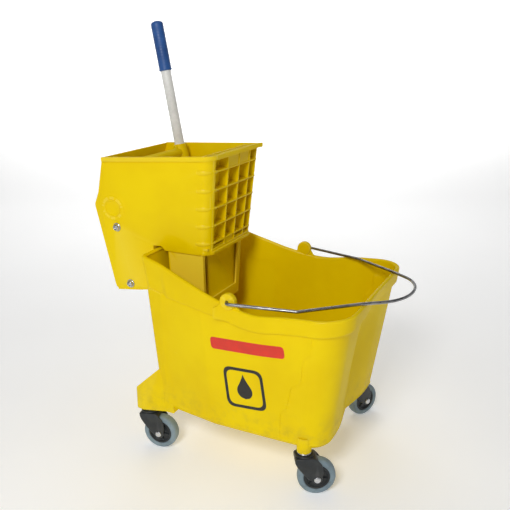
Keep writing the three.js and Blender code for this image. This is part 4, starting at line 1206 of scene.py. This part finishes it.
def spring(label, side):
    """A close-wound extension spring from the hinge rod to the yoke's tail, with a hook at each end."""
    x, z = HINGE_ROD
    length = math.hypot(TAIL[0] - x, TAIL[1] - z)
    lean = math.atan2(TAIL[0] - x, TAIL[1] - z)
    turn = Matrix.Translation((x, side * 86, z)) @ Matrix.Rotation(lean, 4, "Y")
    low, high, turns, radius, steps = 14, length - 10, 34, 4.3, 12
    coil = [(radius * math.cos(2 * math.pi * k / steps), radius * math.sin(2 * math.pi * k / steps),
             low + (high - low) * k / (turns * steps)) for k in range(turns * steps + 1)]
    lead = [(0.5, 0, 5.2), (1.5, 0, 8), (3.4, -0.5, 11.5)]
    tail = [(3.4, 0.5, high + 2.5), (1.5, 0.4, high + 5), (0.5, 0, length - 3.4)]
    path = [turn @ Vector(p) for p in (*lead, *coil, *tail)]
    item = as_object(tube(path, 0.75, 7), f"spring_coil_{label}")
    smooth(item, 80)
    item.data.materials.append(WIRE)
    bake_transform(item)
    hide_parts(f"return_spring_{label}")


rods()
spring("near", -1)
spring("far", 1)

# ---------------------------------------------------------------- casters


AXLE_TURN = Matrix.Rotation(-math.pi / 2, 4, "X")
FORK_HALF, FORK_GAP = 18.5, 15.5


def caster_place(name):
    """Carries a solid whose X runs along the fork onto the swivel's axis."""
    x, y, heading = stem_place(name)
    return Matrix.Translation((x, y, 0)) @ Matrix.Rotation(heading, 4, "Z")


def on_axle(name):
    """Carries a solid turned about Z onto a wheel's axle."""
    return caster_place(name) @ Matrix.Translation((TRAIL, 0, WHEEL_RADIUS)) @ AXLE_TURN


def fork(name):
    """A moulded hood that grips the wheel: full at the swivel and narrow at the axle."""
    place = caster_place(name)
    outline = [(-17.5, 84), (-19, 80), (-18.6, 74), (-15, 66), (-9.5, 58), (-1, 48), (8, 38),
               *arc(TRAIL, WHEEL_RADIUS, 11, 205, 372, 14), (37, 50), (36.5, 60), (33, 70), (26, 79),
               (21, 84)]
    hood = prism(outline, -FORK_HALF, FORK_HALF, "Y", 3.2, 4)
    item = as_object(bent(hood, lambda p: place @ p), f"fork_hood_{name}")
    gap = [(-30, -5), (70, -5), (70, 60), (56, 72), (40, 79.5), (0, 79.5), (-24, 70), (-30, 60)]
    gap_form = prism(gap, -FORK_GAP, FORK_GAP, "Y", 0.8, 2)
    subtract(item, [bent(gap_form, lambda p: place @ p),
                    cylinder(ROD_HOLE, -24, 24, 24, on_axle(name)), cylinder(6, 70, 90, 24, place)])
    piece(item, f"swivel_{name}", BLACK, f"caster_fork_{name}", angle=40)


def raceway(name):
    profile = ring_profile([(6, 84.3), (17, 84.3), (19, 85.4), (19, 87.2), (17.6, 88.4), (6, 88.4)], 0.6)
    turned_piece(f"raceway_ring_{name}", profile, 56, caster_place(name),
                 f"swivel_{name}", BLACK, f"caster_raceway_{name}", angle=35)


def stem(name):
    profile = [(0, 76.8), (7.6, 76.8), (8.5, 77.6), (8.5, 79.7), (5.5, 79.7), (5.5, 88.8), (13.4, 88.8),
               (14, 89.6), (14, 91), (13.4, 91.7), (5.5, 91.7), (5.5, 116), (3.5, 118), (0, 118)]
    turned_piece(f"stem_pin_{name}", rounded_profile(profile, 0.3), 40, caster_place(name),
                 "bucket", ZINC, f"caster_stem_{name}", angle=35)


def tyre(name):
    half = [(26, 10.6), (27.6, 11.6), (29.5, 11.9), (32, 11.7), (34.6, 10.8), (36.6, 8.8), (37.6, 6),
            (WHEEL_RADIUS, 2.2)]
    profile = [*[(r, -h) for r, h in half], *half[::-1]]
    turned_piece(f"tyre_ring_{name}", ring_profile(profile, 1.1, 3), 96, on_axle(name),
                 f"wheel_{name}", RUBBER, f"wheel_tyre_{name}")


def hub(name):
    """A wheel's moulded centre: a rim, a boss and six ribs on each face."""
    rim, lip = 25.7, 10.7
    half = [(4.3, 13), (8.6, 13), (9.2, 12.2), (9.4, 7.4), (12.5, 6.6), (18.5, 6.6), (21.2, 8.2),
            (22.2, lip - 0.4), (23, lip), (rim - 0.5, lip), (rim, lip - 0.6)]
    profile = [*half, *[(r, -h) for r, h in half[::-1]]]
    parts = [lathe(ring_profile(profile, 0.35, 2), 72, on_axle(name))]
    for i in range(6):
        turn = on_axle(name) @ Matrix.Rotation(math.radians(60 * i + 12), 4, "Z")
        parts += [block((8, -0.9, h), (22, 0.9, h + 3.6), 0.4, 2, turn) for h in (5.8, -9.4)]
    piece(union(parts, f"hub_disc_{name}"), f"wheel_{name}", BLACK_HUB, f"wheel_hub_{name}", angle=35)


def axle(name):
    under = FORK_HALF + 0.3
    head = [(0, -under - 3.4), (3.8, -under - 3.3), (5.6, -under - 2.5), (6.6, -under - 1.2), (6.8, -under),
            (4, -under), (4, under + 4.2), (3.4, under + 4.6), (0, under + 4.6)]
    turned_piece(f"axle_pin_{name}", rounded_profile(head, 0.4), 36, on_axle(name),
                 f"swivel_{name}", ZINC, f"axle_bolt_{name}")
    nut = hexagon(f"axle_hex_nut_{name}", 7.4, ROD_HOLE, under, under + 3.6, on_axle(name))
    piece(nut, f"swivel_{name}", ZINC, f"axle_nut_{name}", angle=30)


for caster in CASTERS:
    for make in (fork, raceway, stem, tyre, hub, axle):
        make(caster)

# ---------------------------------------------------------------- studio

GROUND_Z = CAD_BOX[0][2]


def floor():
    """A pale floor that curves up all round, so that no horizon shows, with a little light of its own."""
    flat, rise, height, sides = 6.2, 1.2, 0.9, 96
    profile = [(r, 0) for r in np.linspace(0.4, flat, 8)]
    profile += [(flat + rise * math.sin(a), rise * (1 - math.cos(a)))
                for a in np.radians(np.linspace(9, 90, 10))]
    profile += [(flat + rise, rise + height)]
    points = [(0, 0, 0)] + [(r * math.cos(a), r * math.sin(a), z) for r, z in profile
                            for a in np.linspace(0, 2 * math.pi, sides, endpoint=False)]
    faces = [(0, 1 + i, 1 + (i + 1) % sides) for i in range(sides)]
    for level in range(len(profile) - 1):
        a, b = 1 + level * sides, 1 + (level + 1) * sides
        faces += [(a + i, b + i, b + (i + 1) % sides, a + (i + 1) % sides) for i in range(sides)]
    item = new_object("floor", points, faces, in_row_frame=True)
    item.location.z = GROUND_Z
    smooth(item, 60)
    n = Nodes("pale_floor")
    color = n.tones(3, 3, (0.90, 0.90, 0.898), (0.92, 0.92, 0.918))
    item.data.materials.append(n.finish(color, n.uneven(n.noise(8, 3), 0.75, 0.85), specular=0.2))
    n.shader.inputs["Emission Color"].default_value = (1, 1, 1, 1)
    n.shader.inputs["Emission Strength"].default_value = 0.24


def area_light(name, place, target, size, power):
    data = bpy.data.lights.new(name, "AREA")
    data.shape, data.size, data.energy = "DISK", size, power
    lamp = bpy.data.objects.new(name, data)
    lamp.location = place
    lamp.rotation_euler = (Vector(target) - Vector(place)).to_track_quat("-Z", "Y").to_euler()
    bpy.context.scene.collection.objects.link(lamp)


def studio():
    floor()
    middle = (0, 0, 0.45)
    area_light("key", (0.36, -1.9, 1.6), middle, 0.6, 27.5)
    area_light("top", (0.2, 0.3, 3.2), middle, 2.4, 8)
    area_light("floor_behind", (-1.1, 1.9, 2.5), (-1.6, 3.4, 0), 2.2, 50)
    area_light("sweep", (-2.0, 4.2, 3.2), (-3.6, 7.6, 0.6), 2.6, 130)
    world = bpy.data.worlds.new("studio")
    world.use_nodes = True
    background = world.node_tree.nodes["Background"]
    background.inputs["Color"].default_value = (1, 1, 1, 1)
    background.inputs["Strength"].default_value = 0.15
    bpy.context.scene.world = world
    bpy.context.scene.view_settings.view_transform = "Standard"


def camera():
    """The main view: ahead of the tub on its near side, looking down at it."""
    data = bpy.data.cameras.new("camera")
    data.lens, data.sensor_width = 48.706, 36
    item = bpy.data.objects.new("camera", data)
    item.location = ORIGIN + Vector((585.5, -1251.5, 847)) * MM
    item.rotation_euler = (math.radians(90 - 17.155), 0, math.radians(25.54))
    bpy.context.scene.collection.objects.link(item)
    bpy.context.scene.camera = item


studio()
camera()
